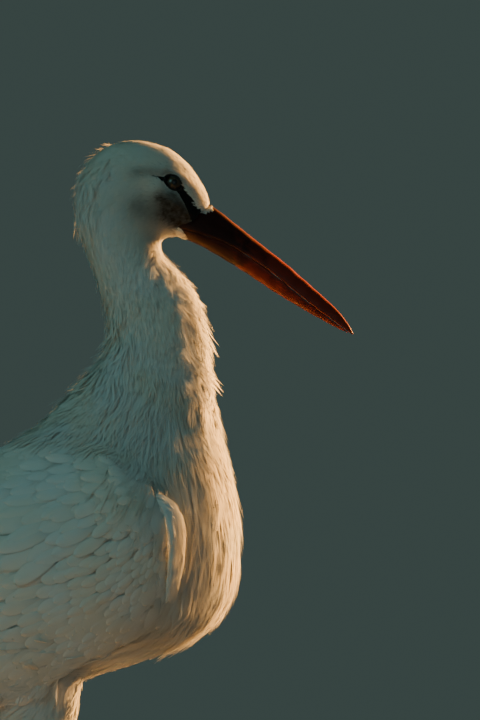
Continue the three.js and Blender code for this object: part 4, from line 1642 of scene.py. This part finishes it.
def quill_outline(t, blunt):
    """Half the width of a flight feather along its length, as a share of the widest."""
    root = ramp(-0.12, 0.22, t)
    tip = np.sqrt(np.clip(1 - (np.clip(t - (1 - blunt), 0, 1) / blunt) ** 2, 0, 1))
    return root * np.maximum(tip, 0.04)


class Sheaf:
    """Many long feathers gathered into one mesh."""

    def __init__(self):
        self.points, self.faces, self.blade, self.bloom = [], [], [], []

    def add(self, centre, side, out, width, split, bloom):
        """A feather along a line, with its side and outward ways at each row of the line.
        Split says how far its middle lies to the side of its shaft."""
        rows, start = len(centre), len(self.points)
        t, a = np.meshgrid(np.linspace(0, 1, rows), QUILL_ACROSS, indexing="ij")
        half = width * quill_outline(t, min(width / lengths_along(centre)[-1], 0.45))
        shaft = SHAFT_RISE * bump_at(a, SHAFT_WIDTH) * (1 - 0.7 * t)
        height = shaft - QUILL_DROOP * a * a * half / width
        place = centre[:, None] + side[:, None] * (half * (a + split))[..., None]
        self.points += list((place + out[:, None] * height[..., None]).reshape(-1, 3))
        self.blade += [(*pair, 0) for pair in zip(t.flat, a.flat)]
        self.bloom += list((bloom * ramp(0.2, 1.0, a) * (0.4 + 0.6 * t)).flat)
        flip = np.dot(np.cross(centre[rows // 2] - centre[0], side[0]), out[0]) < 0
        faces = quads(rows, QUILL_COLUMNS, start)
        self.faces += [face[::-1] for face in faces] if flip else faces

    def piece(self, name, finish, slot):
        piece = mesh_object(name, self.points, self.faces)
        store(piece.data, "blade", self.blade)
        store(piece.data, "along", np.array(self.blade)[:, 0])
        store(piece.data, "bloom", self.bloom)
        hand_over(piece, finish)


def wing_feather(sheaf, surface, root, tip, width, layer, bloom, bow=0.0):
    """A flight feather on a wing's surface, from root to tip. Its layer at both ends is 0 at the
    wing's outer face and 1 on its skin. Its path bows down by a share of the wing's curve."""
    t = np.linspace(0, 1, QUILL_ROWS)
    p = root[0] + (tip[0] - root[0]) * t
    v = root[1] + (tip[1] - root[1]) * t + bow * np.sin(np.pi * t)
    v = np.clip(v, 0.0, 1.0)
    centre = surface.at(p, v)
    out = unit(surface.at(p, v, surface.out))
    way = unit(np.gradient(centre, axis=0))
    side = unit(np.cross(out, way)) * -surface.sign
    depth = np.interp(p, QUILL_BACK, QUILL_DEPTH) * np.interp(t, [0, 1], layer)
    sheaf.add(centre - out * depth[:, None], side, out, width, WING_SPLIT, bloom)


def black_edge(surface, v):
    """How far back the black begins on a wing, this share of the way down its curve."""
    p = BLACK_START
    for _ in range(8):
        p = BLACK_START - BLACK_LEAN * trunk_places(surface.at(np.array([p]), np.array([v])))[1][0]
    return p


def lay_primaries(sheaf, surface):
    """The longest feathers, which end at the wing's tip and lie under all the others."""
    for s in np.linspace(0, 1, 11):
        root = (230 * MM, 0.62 - 0.42 * s)
        tip = ((405 + 114 * min(1.0, 1.7 * s)) * MM, 0.93 - 0.78 * s)
        wing_feather(sheaf, surface, root, tip, (13 - 3 * s) * MM, (0.5, 0.45 - 0.45 * s), 0.3)


def lay_secondaries(sheaf, surface, rng):
    """The feathers along the wing's lower edge."""
    for s in np.linspace(0, 1, 14):
        v = 0.975 - 0.52 * s
        root = (black_edge(surface, v) - 4 * MM, v)
        tip = ((255 + 175 * s) * MM + rng.normal(0, 3 * MM), 0.985 - 0.22 * s)
        wing_feather(sheaf, surface, root, tip, 13.5 * MM, (0.7, 0.25 - 0.25 * s), 0.8, 0.02)


def lay_tertials(sheaf, surface, rng):
    """The broad feathers by the back, which cover the secondaries."""
    for s in np.linspace(0, 1, 9):
        v = 0.54 - 0.50 * s
        root = (black_edge(surface, v) - 6 * MM, v)
        tip = ((418 - 130 * s**1.3) * MM + rng.normal(0, 3 * MM), 0.72 - 0.60 * s)
        wing_feather(sheaf, surface, root, tip, 16 * MM, (0.7, -0.30 * s), 0.6, 0.01)


# Two rows of black coverts: their share of the way to the black's edge, and length in millimetres.
BLACK_COVERTS = ((1.12, 66), (1.0, 58))


def lay_black_coverts(sheaf, surface, rng):
    """Short black feathers over the roots of the long ones."""
    for row, (share, reach) in enumerate(BLACK_COVERTS):
        p, v = surface.spaced(*surface.row(share), 12 * MM, 0.5 * row)
        for back, down in zip(p, v):
            length = reach * rng.uniform(0.85, 1.15) * (1.15 - 0.35 * abs(down - 0.45)) * MM
            tip = (back + length, min(down + 0.03, 0.99))
            layer = (0.8 - 0.1 * row, -0.15 - 0.2 * row)
            wing_feather(sheaf, surface, (back, down), tip, (11 - row) * MM, layer, 0.9)


def make_quills(wings, finish):
    """The black feathers of both folded wings, the lowest layers first."""
    rng = default_rng(31)
    sheaf = Sheaf()
    for surface in wings.values():
        lay_primaries(sheaf, surface)
        lay_secondaries(sheaf, surface, rng)
        lay_tertials(sheaf, surface, rng)
        lay_black_coverts(sheaf, surface, rng)
    sheaf.piece("wing_quill_feathers", finish, "quills")


# ---- tail
TAIL_PAIRS = 6
TAIL_WIDTH = 10 * MM  # half a feather's width


def on_tail(search, a, b, face, level):
    """The place on the tail's upper or under face, this far back and to the left."""
    place = SHOULDER + BODY_BACK * a + np.array([0, b, 0])
    hit = search.ray_cast(Vector(place + face * BODY_UP * OUTSIDE), Vector(-face * BODY_UP))[0]
    return place + BODY_UP * level if hit is None else np.array(hit)


def make_tail(finish):
    """Twelve white tail feathers on each face of the tail, the middle pair outermost."""
    mesh = joined_nodes(["tail"])
    search = surface_tree(mesh)
    back, up = trunk_places(places(mesh))
    start, end, half = back.min() + 8 * MM, back.max() - 3 * MM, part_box("tail")[1].y
    sheaf = Sheaf()
    t = np.linspace(0, 1, QUILL_ROWS)
    for face in (1, -1):
        out = np.tile(BODY_UP * face, (QUILL_ROWS, 1))
        for k in reversed(range(TAIL_PAIRS)):
            layer = (TAIL_PAIRS - k) * 0.45 * MM - 1.5 * MM
            for sign in (1, -1):
                share = (k + 0.5) / TAIL_PAIRS * sign
                p = start + (end - 10 * MM * share**2 - start) * t
                y = share * (half - 9 * MM) * (0.35 + 0.65 * t)
                centre = np.array([on_tail(search, a, b, face, up.mean()) for a, b in zip(p, y)])
                side = unit(np.cross(out, unit(np.gradient(centre, axis=0))))
                sheaf.add(centre + out * layer, side * sign * -face, out, TAIL_WIDTH, 0.0, 0.0)
    sheaf.piece("tail_feathers", finish, "plumage")


# ---- bill
BILL_ORIGIN = EYE["l"] * (1, 0, 1)
BILL_RINGS = 90
BILL_STEPS = 24  # round one side's curve, from edge to edge
BILL_CLOSED = 0.05 * MM  # half the gap between the two halves
# Marks on the upper half: how far up its side the flute and the nostril lie, their half widths
# and depths, and where along the bill from its root the flute ends and the nostril lies.
MARK_LEVEL = 0.60
FLUTE_WIDTH, FLUTE_DEPTH, FLUTE_END = 1.5 * MM, 0.9 * MM, (40 * MM, 80 * MM)
NOSTRIL_WIDTH, NOSTRIL_DEPTH, NOSTRIL_AT, NOSTRIL_LENGTH = 0.8 * MM, 1.6 * MM, 22 * MM, 6 * MM
KEEL_WIDTH, KEEL_DEPTH = 1.2 * MM, 0.35 * MM
# Half the width and the ends along the bill of the gape's painted orange light.
GAPE_WIDTH, GAPE_END = 3.2 * MM, (6 * MM, 22 * MM)


def bill_places(co):
    """How far along the bill from the eyes each place is, how far left, and how far up."""
    out = np.asarray(co) - BILL_ORIGIN
    return np.column_stack([out @ BILL_WAY, out[:, 1], out @ BILL_UP])


def from_bill(a, y, b):
    """The places with these numbers along, left and up."""
    a, y, b = np.broadcast_arrays(a, y, b)
    in_middle = BILL_ORIGIN + a[..., None] * BILL_WAY + b[..., None] * BILL_UP
    return in_middle + y[..., None] * np.array([0, 1, 0])


def bill_profile(node, upper):
    """The ridge or keel, the closing edge and the half width along one half of the bill."""
    mesh = joined_nodes([node])
    search = surface_tree(mesh)
    a = bill_places(places(mesh))[:, 0]
    stations = np.linspace(a.min() + 0.3 * MM, a.max() - 0.3 * MM, BILL_RINGS)
    up = Vector(BILL_UP)
    rows = []
    for s in stations:
        above, below = [Vector(from_bill(s, 0.0, h)) for h in (0.1, -0.1)]
        hits = [search.ray_cast(above, -up)[0], search.ray_cast(below, up)[0]]
        top, bottom = bill_places(hits)[:, 2]
        edge, crest = (bottom, top) if upper else (top, bottom)
        near = edge + (crest - edge) * 0.04
        side = search.ray_cast(Vector(from_bill(s, 0.1, near)), Vector((0, -1, 0)))[0]
        rows.append((crest, edge, side.y))
    return stations, *smoothed(rows, 8).T


def rounded(angle, power):
    """A circle's height at an angle, squared off by a power above 2."""
    return np.sign(np.sin(angle)) * np.abs(np.sin(angle)) ** (2 / power)


def bill_mesh(name, upper, a, crest, edge, width):
    """Half the bill, as rings along it that are closed at both ends."""
    share = (a - a[0]) / (a[-1] - a[0])
    angle = np.linspace(0, np.pi, BILL_STEPS + 1)
    rise = np.sin(angle) ** (2 / 1.65)
    points, blade = [], []
    for k, s in enumerate(share):
        waist = 0.05 * math.exp(-((s - 0.3) / 0.35) ** 2)
        across = width[k] * rounded(angle + np.pi / 2, 2.2) * (1 - waist * np.sin(2 * angle) ** 2)
        across = across - np.sign(across) * 0.55 * MM * np.exp(-((rise / 0.06) ** 2))
        start = edge[k] + (BILL_CLOSED if upper else -BILL_CLOSED)
        points += list(from_bill(a[k], across, start + (crest[k] - start) * rise))
        blade += [(s, r if upper else 1 - r, abs(y) / width[k]) for r, y in zip(rise, across)]
    count = BILL_STEPS + 1
    faces = quads(BILL_RINGS, count, closed=True)
    for k in (0, BILL_RINGS - 1):
        ring, middle = range(k * count, (k + 1) * count), len(points)
        points.append(np.mean([points[i] for i in ring], axis=0) + (BILL_WAY * 0.5 * MM if k else 0))
        blade.append((share[k], 0.5, 0))
        faces += [(ring[j], ring[(j + 1) % count], middle) for j in range(count)]
    piece = mesh_object(name, points, faces)
    with opened(piece.data) as bm:
        bmesh.ops.recalc_face_normals(bm, faces=bm.faces)
    store(piece.data, "blade", blade)
    return piece


def upper_marks(mesh, along, aside, level):
    """How far the upper half is hollowed, by the flute along its side and by its nostrils."""
    on_side = np.abs(aside) > 2.5 * MM
    flute = bump_at(level, FLUTE_WIDTH) * ramp(0, 12 * MM, along) * (1 - ramp(*FLUTE_END, along))
    slit = bump_at(level, NOSTRIL_WIDTH) * bump_at(along - NOSTRIL_AT, NOSTRIL_LENGTH) * on_side
    store(mesh, "nostril", slit)
    return FLUTE_DEPTH * flute * on_side + NOSTRIL_DEPTH * slit


def make_bill_half(upper, finish):
    """One half of the bill: horn with a ridge, a flute along its flank and, above, nostrils."""
    node = "upper_bill" if upper else "lower_bill"
    a, crest, edge, width = bill_profile(node, upper)
    piece = bill_mesh(node.replace("_", "") + "_horn", upper, a, crest, edge, width)
    mesh, rng = piece.data, default_rng(51 + upper)
    co, out = places(mesh), normals(mesh)
    at, aside, height = bill_places(co).T
    along = at - a[0]
    push = 0.22 * MM * waves(co, 9 * MM, rng) * ramp(0.0, 0.15, along / 0.05)
    if upper:
        level = np.interp(at, a, edge + (crest - edge) * MARK_LEVEL)
        push -= upper_marks(mesh, along, aside, height - level)
    else:
        push -= KEEL_DEPTH * bump_at(aside, KEEL_WIDTH) * (1 - ramp(0.3, 0.6, along / (a[-1] - a[0])))
    # Where the gape is painted lit orange, by the closing edge near the root.
    gape = (1 - ramp(*GAPE_END, along)) * bump_at(height - np.interp(at, a, edge), GAPE_WIDTH)
    store(mesh, "gape", gape)
    put_places(mesh, co + out * push[:, None])
    hand_over(piece, finish, [node])


# ---- eyes and lids
PUPIL_TURN = math.radians(12)  # each eye looks this far forward of sideways
PUPIL_LIFT = 0.05  # and about this many radians up
EYE_RINGS, EYE_STEPS = 40, 64
CORNEA_RISE, CORNEA_REACH = 0.02, 0.6  # in radii of the eyeball, and in radians from its middle
OPENING = (6.8 * MM, 4.5 * MM)  # half sizes of the opening between the lids, ahead and up


def eye_axes(side):
    """The way an eye looks, and the ahead and up ways across it."""
    look = unit(np.array([math.sin(PUPIL_TURN), SIDES[side] * math.cos(PUPIL_TURN), PUPIL_LIFT]))
    ahead = unit(BILL_WAY - look * (BILL_WAY @ look))
    return look, ahead, unit(BILL_UP - look * (BILL_UP @ look) - ahead * (BILL_UP @ ahead))


def make_eye(side, finish):
    """An eyeball, with a slight swell of clear cornea over the iris."""
    look, ahead, up = eye_axes(side)
    points, out, blade = [EYE[side] + look * EYE_RADIUS * (1 + CORNEA_RISE)], [0.0], [(0, 0, 0)]
    for angle in np.pi * np.arange(1, EYE_RINGS) / EYE_RINGS:
        radius = EYE_RADIUS * (1 + CORNEA_RISE * math.exp(-((angle / CORNEA_REACH) ** 4)))
        for turn in 2 * np.pi * np.arange(EYE_STEPS) / EYE_STEPS:
            ring = ahead * math.cos(turn) + up * math.sin(turn)
            points.append(EYE[side] + radius * (look * math.cos(angle) + ring * math.sin(angle)))
            out.append(math.sin(angle) if angle < math.pi / 2 else 1.0)
            blade.append((math.sin(angle), 0.5 + 0.5 * math.cos(turn), 0.5 + 0.5 * math.sin(turn)))
    points.append(EYE[side] - look * EYE_RADIUS)
    out.append(1.0)
    blade.append((1, 0, 0))
    last = 1 + (EYE_RINGS - 2) * EYE_STEPS
    ring = [(j, (j + 1) % EYE_STEPS) for j in range(EYE_STEPS)]
    faces = [(0, 1 + j, 1 + n) for j, n in ring]
    faces += quads(EYE_RINGS - 1, EYE_STEPS, 1, closed=True)
    faces += [(last + n, last + j, len(points) - 1) for j, n in ring]
    if side == "l":
        faces = [face[::-1] for face in faces]
    piece = mesh_object(f"eyeball_{side}", points, faces)
    store(piece.data, "from_pupil", out)
    store(piece.data, "blade", blade)
    hand_over(piece, finish, [f"eye_{side}"])


LID_STEPS = 96
# Across a lid, from under its edge out to the skin: how far out from the opening's edge in
# millimetres, the height there in millimetres, and how much of that is above the skin rather
# than above the eyeball.
LID_SECTION = [
    (-0.9, -0.5, 0.0), (-0.3, 0.05, 0.0), (0.05, 0.45, 0.0), (0.4, 0.65, 0.0), (0.75, 0.6, 0.2),
    (1.0, 0.38, 0.4), (1.25, 0.55, 0.6), (1.65, 0.6, 0.85), (2.2, 0.25, 1.0), (3.0, -0.6, 1.0),
]


def lid_outline(turn):
    """The opening's edge at an angle from ahead: rounder below, flatter above, drawn out behind."""
    ahead, up = math.cos(turn), math.sin(turn)
    rear = max(0.0, -ahead) ** 5 * math.exp(-(((up + 0.15) / 0.35) ** 2))
    front = max(0.0, ahead) ** 5 * math.exp(-(((up + 0.2) / 0.4) ** 2))
    x = OPENING[0] * ahead * (1 + 0.22 * rear + 0.24 * front)
    y = OPENING[1] * up * (0.95 if up > 0 else 1.0) - 0.25 * MM * abs(ahead)
    return x, y


def make_lids(side, skin, finish):
    """The two lids of an eye: a rolled edge on the eyeball, a crease, and a fold to the skin."""
    look, ahead, up = eye_axes(side)
    search = surface_tree(skin.data)
    points = []
    for beyond, height, on_skin in LID_SECTION:
        for turn in 2 * np.pi * np.arange(LID_STEPS) / LID_STEPS:
            x, y = lid_outline(turn)
            reach = math.hypot(x, y)
            scale = (reach + beyond * MM) / reach
            flat = EYE[side] + ahead * x * scale + up * y * scale
            far = min(reach * scale, EYE_RADIUS * 0.97)
            ball = math.sqrt(EYE_RADIUS**2 - far**2)
            hit = search.ray_cast(Vector(flat + look * OUTSIDE), Vector(-look))[0]
            level = ball if hit is None else float((np.array(hit) - EYE[side]) @ look)
            level = max(level, 0.25 * ball) if on_skin < 1 else level
            fold = height * (1 + 0.5 * max(0.0, math.sin(turn)) * (beyond > 0.4)) * MM
            points.append(flat + look * (ball + (level - ball) * on_skin + fold))
    faces = quads(len(LID_SECTION), LID_STEPS, closed=True)
    if side == "l":
        faces = [face[::-1] for face in faces]
    piece = subdivided(mesh_object(f"lids_{side}", points, faces), 1)
    hand_over(piece, finish)


# ---- legs
LEG_VOXEL = 1.1 * MM
PLATE_GAP, TOE_PLATE_GAP = 3.68 * MM, 2.944 * MM  # between the middles of plates, at the least
FOOT_TOP = 20 * MM  # the plates are smaller below this
PLATE_HEIGHT = 0.40 * MM


def make_legs(finish):
    """The bare red legs and feet under small plates, as one skin over each leg."""
    piece = remeshed("leg_skin", LEG_FLESH, LEG_VOXEL)
    mesh = piece.data
    put_places(mesh, relaxed(places(mesh), edges_of(mesh), 5))
    co, out = places(mesh), normals(mesh)
    gaps = np.where(co[:, 2] > FOOT_TOP, PLATE_GAP, TOE_PLATE_GAP)
    seeds = point_tree(co[well_spaced(co, gaps, default_rng(71))])
    near = [[hit[2] for hit in seeds.find_n(p, 2)] for p in co]
    plate = ramp(0.0, 1.3 * MM, np.diff(near, axis=1)[:, 0])
    off_sole = ramp(0.5 * MM, 3 * MM, co[:, 2])
    co = co + out * ((plate - 0.6) * PLATE_HEIGHT * off_sole)[:, None]
    co[:, 2] = np.maximum(co[:, 2], 0)
    put_places(mesh, co)
    store(mesh, "plate", plate)
    hand_over(piece, finish, LEG_FLESH)


def make_claws(finish):
    """The dark claws, rounder than the frame's."""
    names = [f"claw_{toe}_{s}" for toe in TOES for s in SIDES]
    piece = subdivided(linked("claw_horn", joined_nodes(names)), 2)
    hand_over(piece, finish, names)


# ---- the coats of the body
# The loose feathers round the top of each thigh: back along the trunk, up across it, how far
# round that they reach, and how far from the bird's middle they begin.
FLANK_BACK, FLANK_UP, FLANK_REACH, FLANK_IN = 96 * MM, -104 * MM, 44 * MM, 14 * MM
WRIST_CLEAR = 12 * MM  # long feathers keep this far from the wings' front edges
NECK_BASE = 20 * MM  # the neck's two coats pass into each other over this height
NAPE = 25 * MM  # wisps behind the head begin this far behind the eyes
NAPE_BEND, NAPE_BEND_HALF = 0.82, 40 * MM  # the bend at the back of the neck, above the floor


def skin_facts(skin):
    """The skin's places and outward ways, and its shares of each region."""
    mesh = skin.data
    return places(mesh), normals(mesh), {name: stored(mesh, name) for name in REGIONS}


def up_the_neck(co):
    """0 at the foot of the neck and 1 above it."""
    return ramp(0, NECK_BASE, co[:, 2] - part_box("neck_middle")[0].z)


def to_the_front(out):
    """1 where the skin faces forward and not down."""
    return ramp(-0.25, 0.15, out[:, 0]) * ramp(-0.75, -0.5, out[:, 2])


def off_the_wings(co, wings):
    """0 on the strips down the wings' front edges, and 1 well away from them."""
    edge = point_tree(np.concatenate([surface.at(*surface.row(0.03)) for surface in wings.values()]))
    gap = np.array([edge.find(place)[2] for place in co])
    return ramp(WRIST_CLEAR, 1.5 * WRIST_CLEAR, gap)


def below_wings(co, wings):
    """1 at and under the lower edges of the folded wings."""
    back, up = trunk_places(co)
    low = np.interp(back, wings["l"].back, wings["l"].low)
    return 1 - ramp(7 * MM, 14 * MM, up - low)


def make_head_and_neck(skin):
    """The short feathers of the head, and the hackles of the neck down to the shoulders."""
    co, _, share = skin_facts(skin)
    high = up_the_neck(co)
    coat("head", skin, share["head"] * feathered(skin))
    make_rim()
    coat("neck", skin, share["neck"] * high)
    coat("neck_base", skin, share["neck"] * (1 - high))


def make_plumes(skin, wings):
    """The long plumes that hang from the foot of the neck and the breast."""
    co, out, share = skin_facts(skin)
    low_neck = np.clip(share["breast"] + share["neck"] * (1 - up_the_neck(co)), 0, 1)
    coat("plumes", skin, low_neck * to_the_front(out) * off_the_wings(co, wings))


def make_wisps(skin):
    """Loose feathers that stand off the nape, the throat and the bend of the neck."""
    co, out, share = skin_facts(skin)
    nape = ramp(0.15, 0.45, -out[:, 0]) * share["head"] * ramp(0, NAPE, EYE["l"][0] - NAPE - co[:, 0])
    throat = ramp(0.2, 0.5, out[:, 0]) * share["neck"] * (up_the_neck(co) > 0.5) * feathered(skin)
    bend = ramp(0.3, 0.6, -out[:, 0]) * share["neck"] * bump_at(co[:, 2] - NAPE_BEND, NAPE_BEND_HALF)
    coat("wisps", skin, np.clip(nape + throat + bend, 0, 1))


def feathered(skin):
    """1 where the face has feathers, and 0 where it is bare."""
    return 1 - ramp(0.3, 0.6, stored(skin.data, "bare"))


def make_breast(skin, wings):
    """The vanes of the breast, fewer under the plumes and beside the wings."""
    co, out, share = skin_facts(skin)
    room = (1 - 0.5 * to_the_front(out)) * (0.2 + 0.8 * off_the_wings(co, wings))
    coat("breast", skin, share["breast"] * room)


def make_trunk(skin, wings):
    """The vanes of the trunk, which also line the wings' edges where no coverts lie."""
    co, out, share = skin_facts(skin)
    back, up = trunk_places(co)
    top_corner = ramp(-5 * MM, 3 * MM, up) * (1 - ramp(-14 * MM, -4 * MM, back))
    lining = np.maximum(ramp(0.1, 0.45, -out[:, 2]), below_wings(co, wings))
    lining = np.maximum(lining, top_corner) * (share["wing"] + share["quills"])
    lining *= 1 - ramp(0.1, 0.4, stored(skin.data, "black"))
    coat("trunk", skin, np.clip(share["trunk"] + lining, 0, 1))


def make_flanks(skin, wings):
    """The loose feathers that hide where the thighs meet the body."""
    co, _, share = skin_facts(skin)
    back, up = trunk_places(co)
    round_root = 1 - ramp(FLANK_REACH, 1.3 * FLANK_REACH, np.hypot(back - FLANK_BACK, up - FLANK_UP))
    on_wing = ramp(0.3, 0.6, share["wing"] + share["quills"]) * (1 - below_wings(co, wings))
    outer = ramp(FLANK_IN, FLANK_IN + 12 * MM, np.abs(co[:, 1]))
    coat("flanks", skin, round_root * stored(skin.data, "open") * (1 - on_wing) * outer)


def make_coats(skin, wings):
    """The feathers of the head, neck, breast, back and thighs."""
    make_head_and_neck(skin)
    make_plumes(skin, wings)
    make_wisps(skin)
    make_breast(skin, wings)
    make_trunk(skin, wings)
    make_flanks(skin, wings)
    coat("saddle", skin, stored(skin.data, "saddle"))
    coat("thighs", skin, stored(skin.data, "thigh"))


# Feathering over the bill's base: the half it covers, how far ahead of the eye it starts and
# ends, the middle of its turn round the bill from straight up and half its width in degrees, how
# far its tips stand off, and the level inside the bill of the line that rays aim at.
RIMS = [
    ("upper_bill", 34, 45.5, 0, 58, 0.30, -13),
    ("lower_bill", 26, 43, 180, 72, 0.42, -26),
]
RIM_GAP, RIM_TURN = 1.15, 5.5  # between roots: in millimetres along, and in degrees round
RIM_DEPTH = 1.6 * MM


def rim_roots(node, start, end, middle, half, level, rng):
    """Places on the bill's base in a jittered grid: each with its outward way, its turn as a
    share of the half width, and how far ahead it is."""
    search = surface_tree(joined_nodes([node]))
    for a in np.arange(start, end, RIM_GAP):
        for turn in np.arange(-half, half, RIM_TURN):
            edge = end - 9 * (abs(turn) / half) ** 3 + rng.normal(0, 0.7)
            ahead = (a + rng.normal(0, 0.4)) * MM
            if a > edge:
                continue
            angle = math.radians(middle + turn + rng.normal(0, 1.2))
            way = Vector(BILL_UP * math.cos(angle) + np.array([0, math.sin(angle), 0]))
            axis = Vector(from_bill(ahead, 0.0, level * MM))
            hit, out = search.ray_cast(axis + way * 0.06, -way)[:2]
            if hit:
                yield hit, np.array(out), turn / half, a


def make_rim():
    """Short feathers that reach from the brow and the chin over the bill's base."""
    rng = default_rng(31)
    base = linked("rim base", joined_nodes(["upper_bill", "lower_bill", "head"]))
    store(base.data, "out", normals(base.data))
    store(base.data, "depth", np.full(len(base.data.vertices), RIM_DEPTH))
    fields = {key: [] for key in ("co", "way", "out", "own")}
    for k, (node, start, end, middle, half, stand, level) in enumerate(RIMS):
        for hit, out, turn, a in rim_roots(node, start, end, middle, half, level, rng):
            fields["co"].append(hit)
            fields["out"].append(out)
            fields["way"].append(unit(-BILL_WAY + stand * out))
            fields["own"].append((0.25 + 0.5 * k + 0.23 * turn, (a - 20) / 30, 0))
    plant_small("rim", base, fields, rng)


def make_wings(skin, wings):
    """The feathers of both wings and of the tail."""
    make_coverts(skin, wings)
    make_wrist(skin)
    make_scapulars(skin, wings)
    make_quills(wings, quill_finish())
    make_tail(FINISHES["tail plumage"])


# ---- floor, light and camera
FLOOR_RADIUS, FLOOR_STEPS = 1.3, 96
# Each light's place and the place it points at, how wide it is, its power, its colour and the
# angle of its beam.
LIGHTS = {
    "sun window": ((2.6, 1.75, 1.4), (0.15, 0, 0.85), 0.8, 44, (1.0, 0.47, 0.11), 32),
    "sky window": ((-2.4, -2.6, 2.6), (0.1, 0, 0.7), 2.6, 28, (0.35, 0.92, 0.92), 180),
    "front fill": ((0.9, -3.6, 0.9), (0.1, 0, 0.7), 2.4, 4, (0.72, 0.95, 1.0), 180),
}
STUDIO_TONE, STUDIO_LIGHT = (0.09, 0.135, 0.125, 1), 0.5


def make_floor():
    turn = 2 * np.pi * np.arange(FLOOR_STEPS) / FLOOR_STEPS
    points = [(FLOOR_RADIUS * math.cos(a), FLOOR_RADIUS * math.sin(a), CAD_BOX[0][2]) for a in turn]
    floor = mesh_object("floor", points, [range(FLOOR_STEPS)])
    floor.data.materials.append(floor_finish())


def soft_light(name, place, target, size, power, colour, spread):
    data = bpy.data.lights.new(name, "AREA")
    data.shape, data.size, data.energy, data.color = "DISK", size, power, colour
    data.spread = math.radians(spread)
    light = bpy.data.objects.new(name, data)
    light.location = place
    light.rotation_euler = (Vector(target) - Vector(place)).to_track_quat("-Z", "Y").to_euler()
    bpy.context.scene.collection.objects.link(light)


def make_light():
    for name, numbers in LIGHTS.items():
        soft_light(name, *numbers)
    world = bpy.data.worlds.new("studio")
    world.use_nodes = True
    back = world.node_tree.nodes["Background"]
    back.inputs["Color"].default_value = STUDIO_TONE
    back.inputs["Strength"].default_value = STUDIO_LIGHT
    bpy.context.scene.world = world


CAMERA_BACK = 4.0  # from the bird's middle plane
VIEW_HEIGHT = 0.6624  # of the frame there
BILL_TIP_LEFT = 0.1039  # the middle of the frame is this far behind the bill's tip
CROWN_ABOVE = 0.2042  # and this far below the crown
SENSOR = 36.0


def make_camera():
    data = bpy.data.cameras.new("camera")
    data.sensor_width = SENSOR
    data.lens = SENSOR * CAMERA_BACK / VIEW_HEIGHT
    camera = bpy.data.objects.new("camera", data)
    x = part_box("upper_bill")[1].x - BILL_TIP_LEFT
    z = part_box("head")[1].z - CROWN_ABOVE
    camera.location = (x, -CAMERA_BACK, z)
    camera.rotation_euler = (math.pi / 2, 0, 0)
    bpy.context.scene.collection.objects.link(camera)
    bpy.context.scene.camera = camera


# ---- the whole bird
def make_bird():
    """The skin, its feathers, and then the bare pieces."""
    skin = make_skin()
    wings = {side: WingSurface(side) for side in SIDES}
    make_coats(skin, wings)
    make_wings(skin, wings)
    horn, eye, lids = bill_finish(), eye_finish(), lid_finish()
    for upper in (True, False):
        make_bill_half(upper, horn)
    for side in SIDES:
        make_eye(side, eye)
        make_lids(side, skin, lids)
    make_legs(leg_finish())
    make_claws(claw_finish())


make_camera()
make_light()
make_floor()
make_bird()
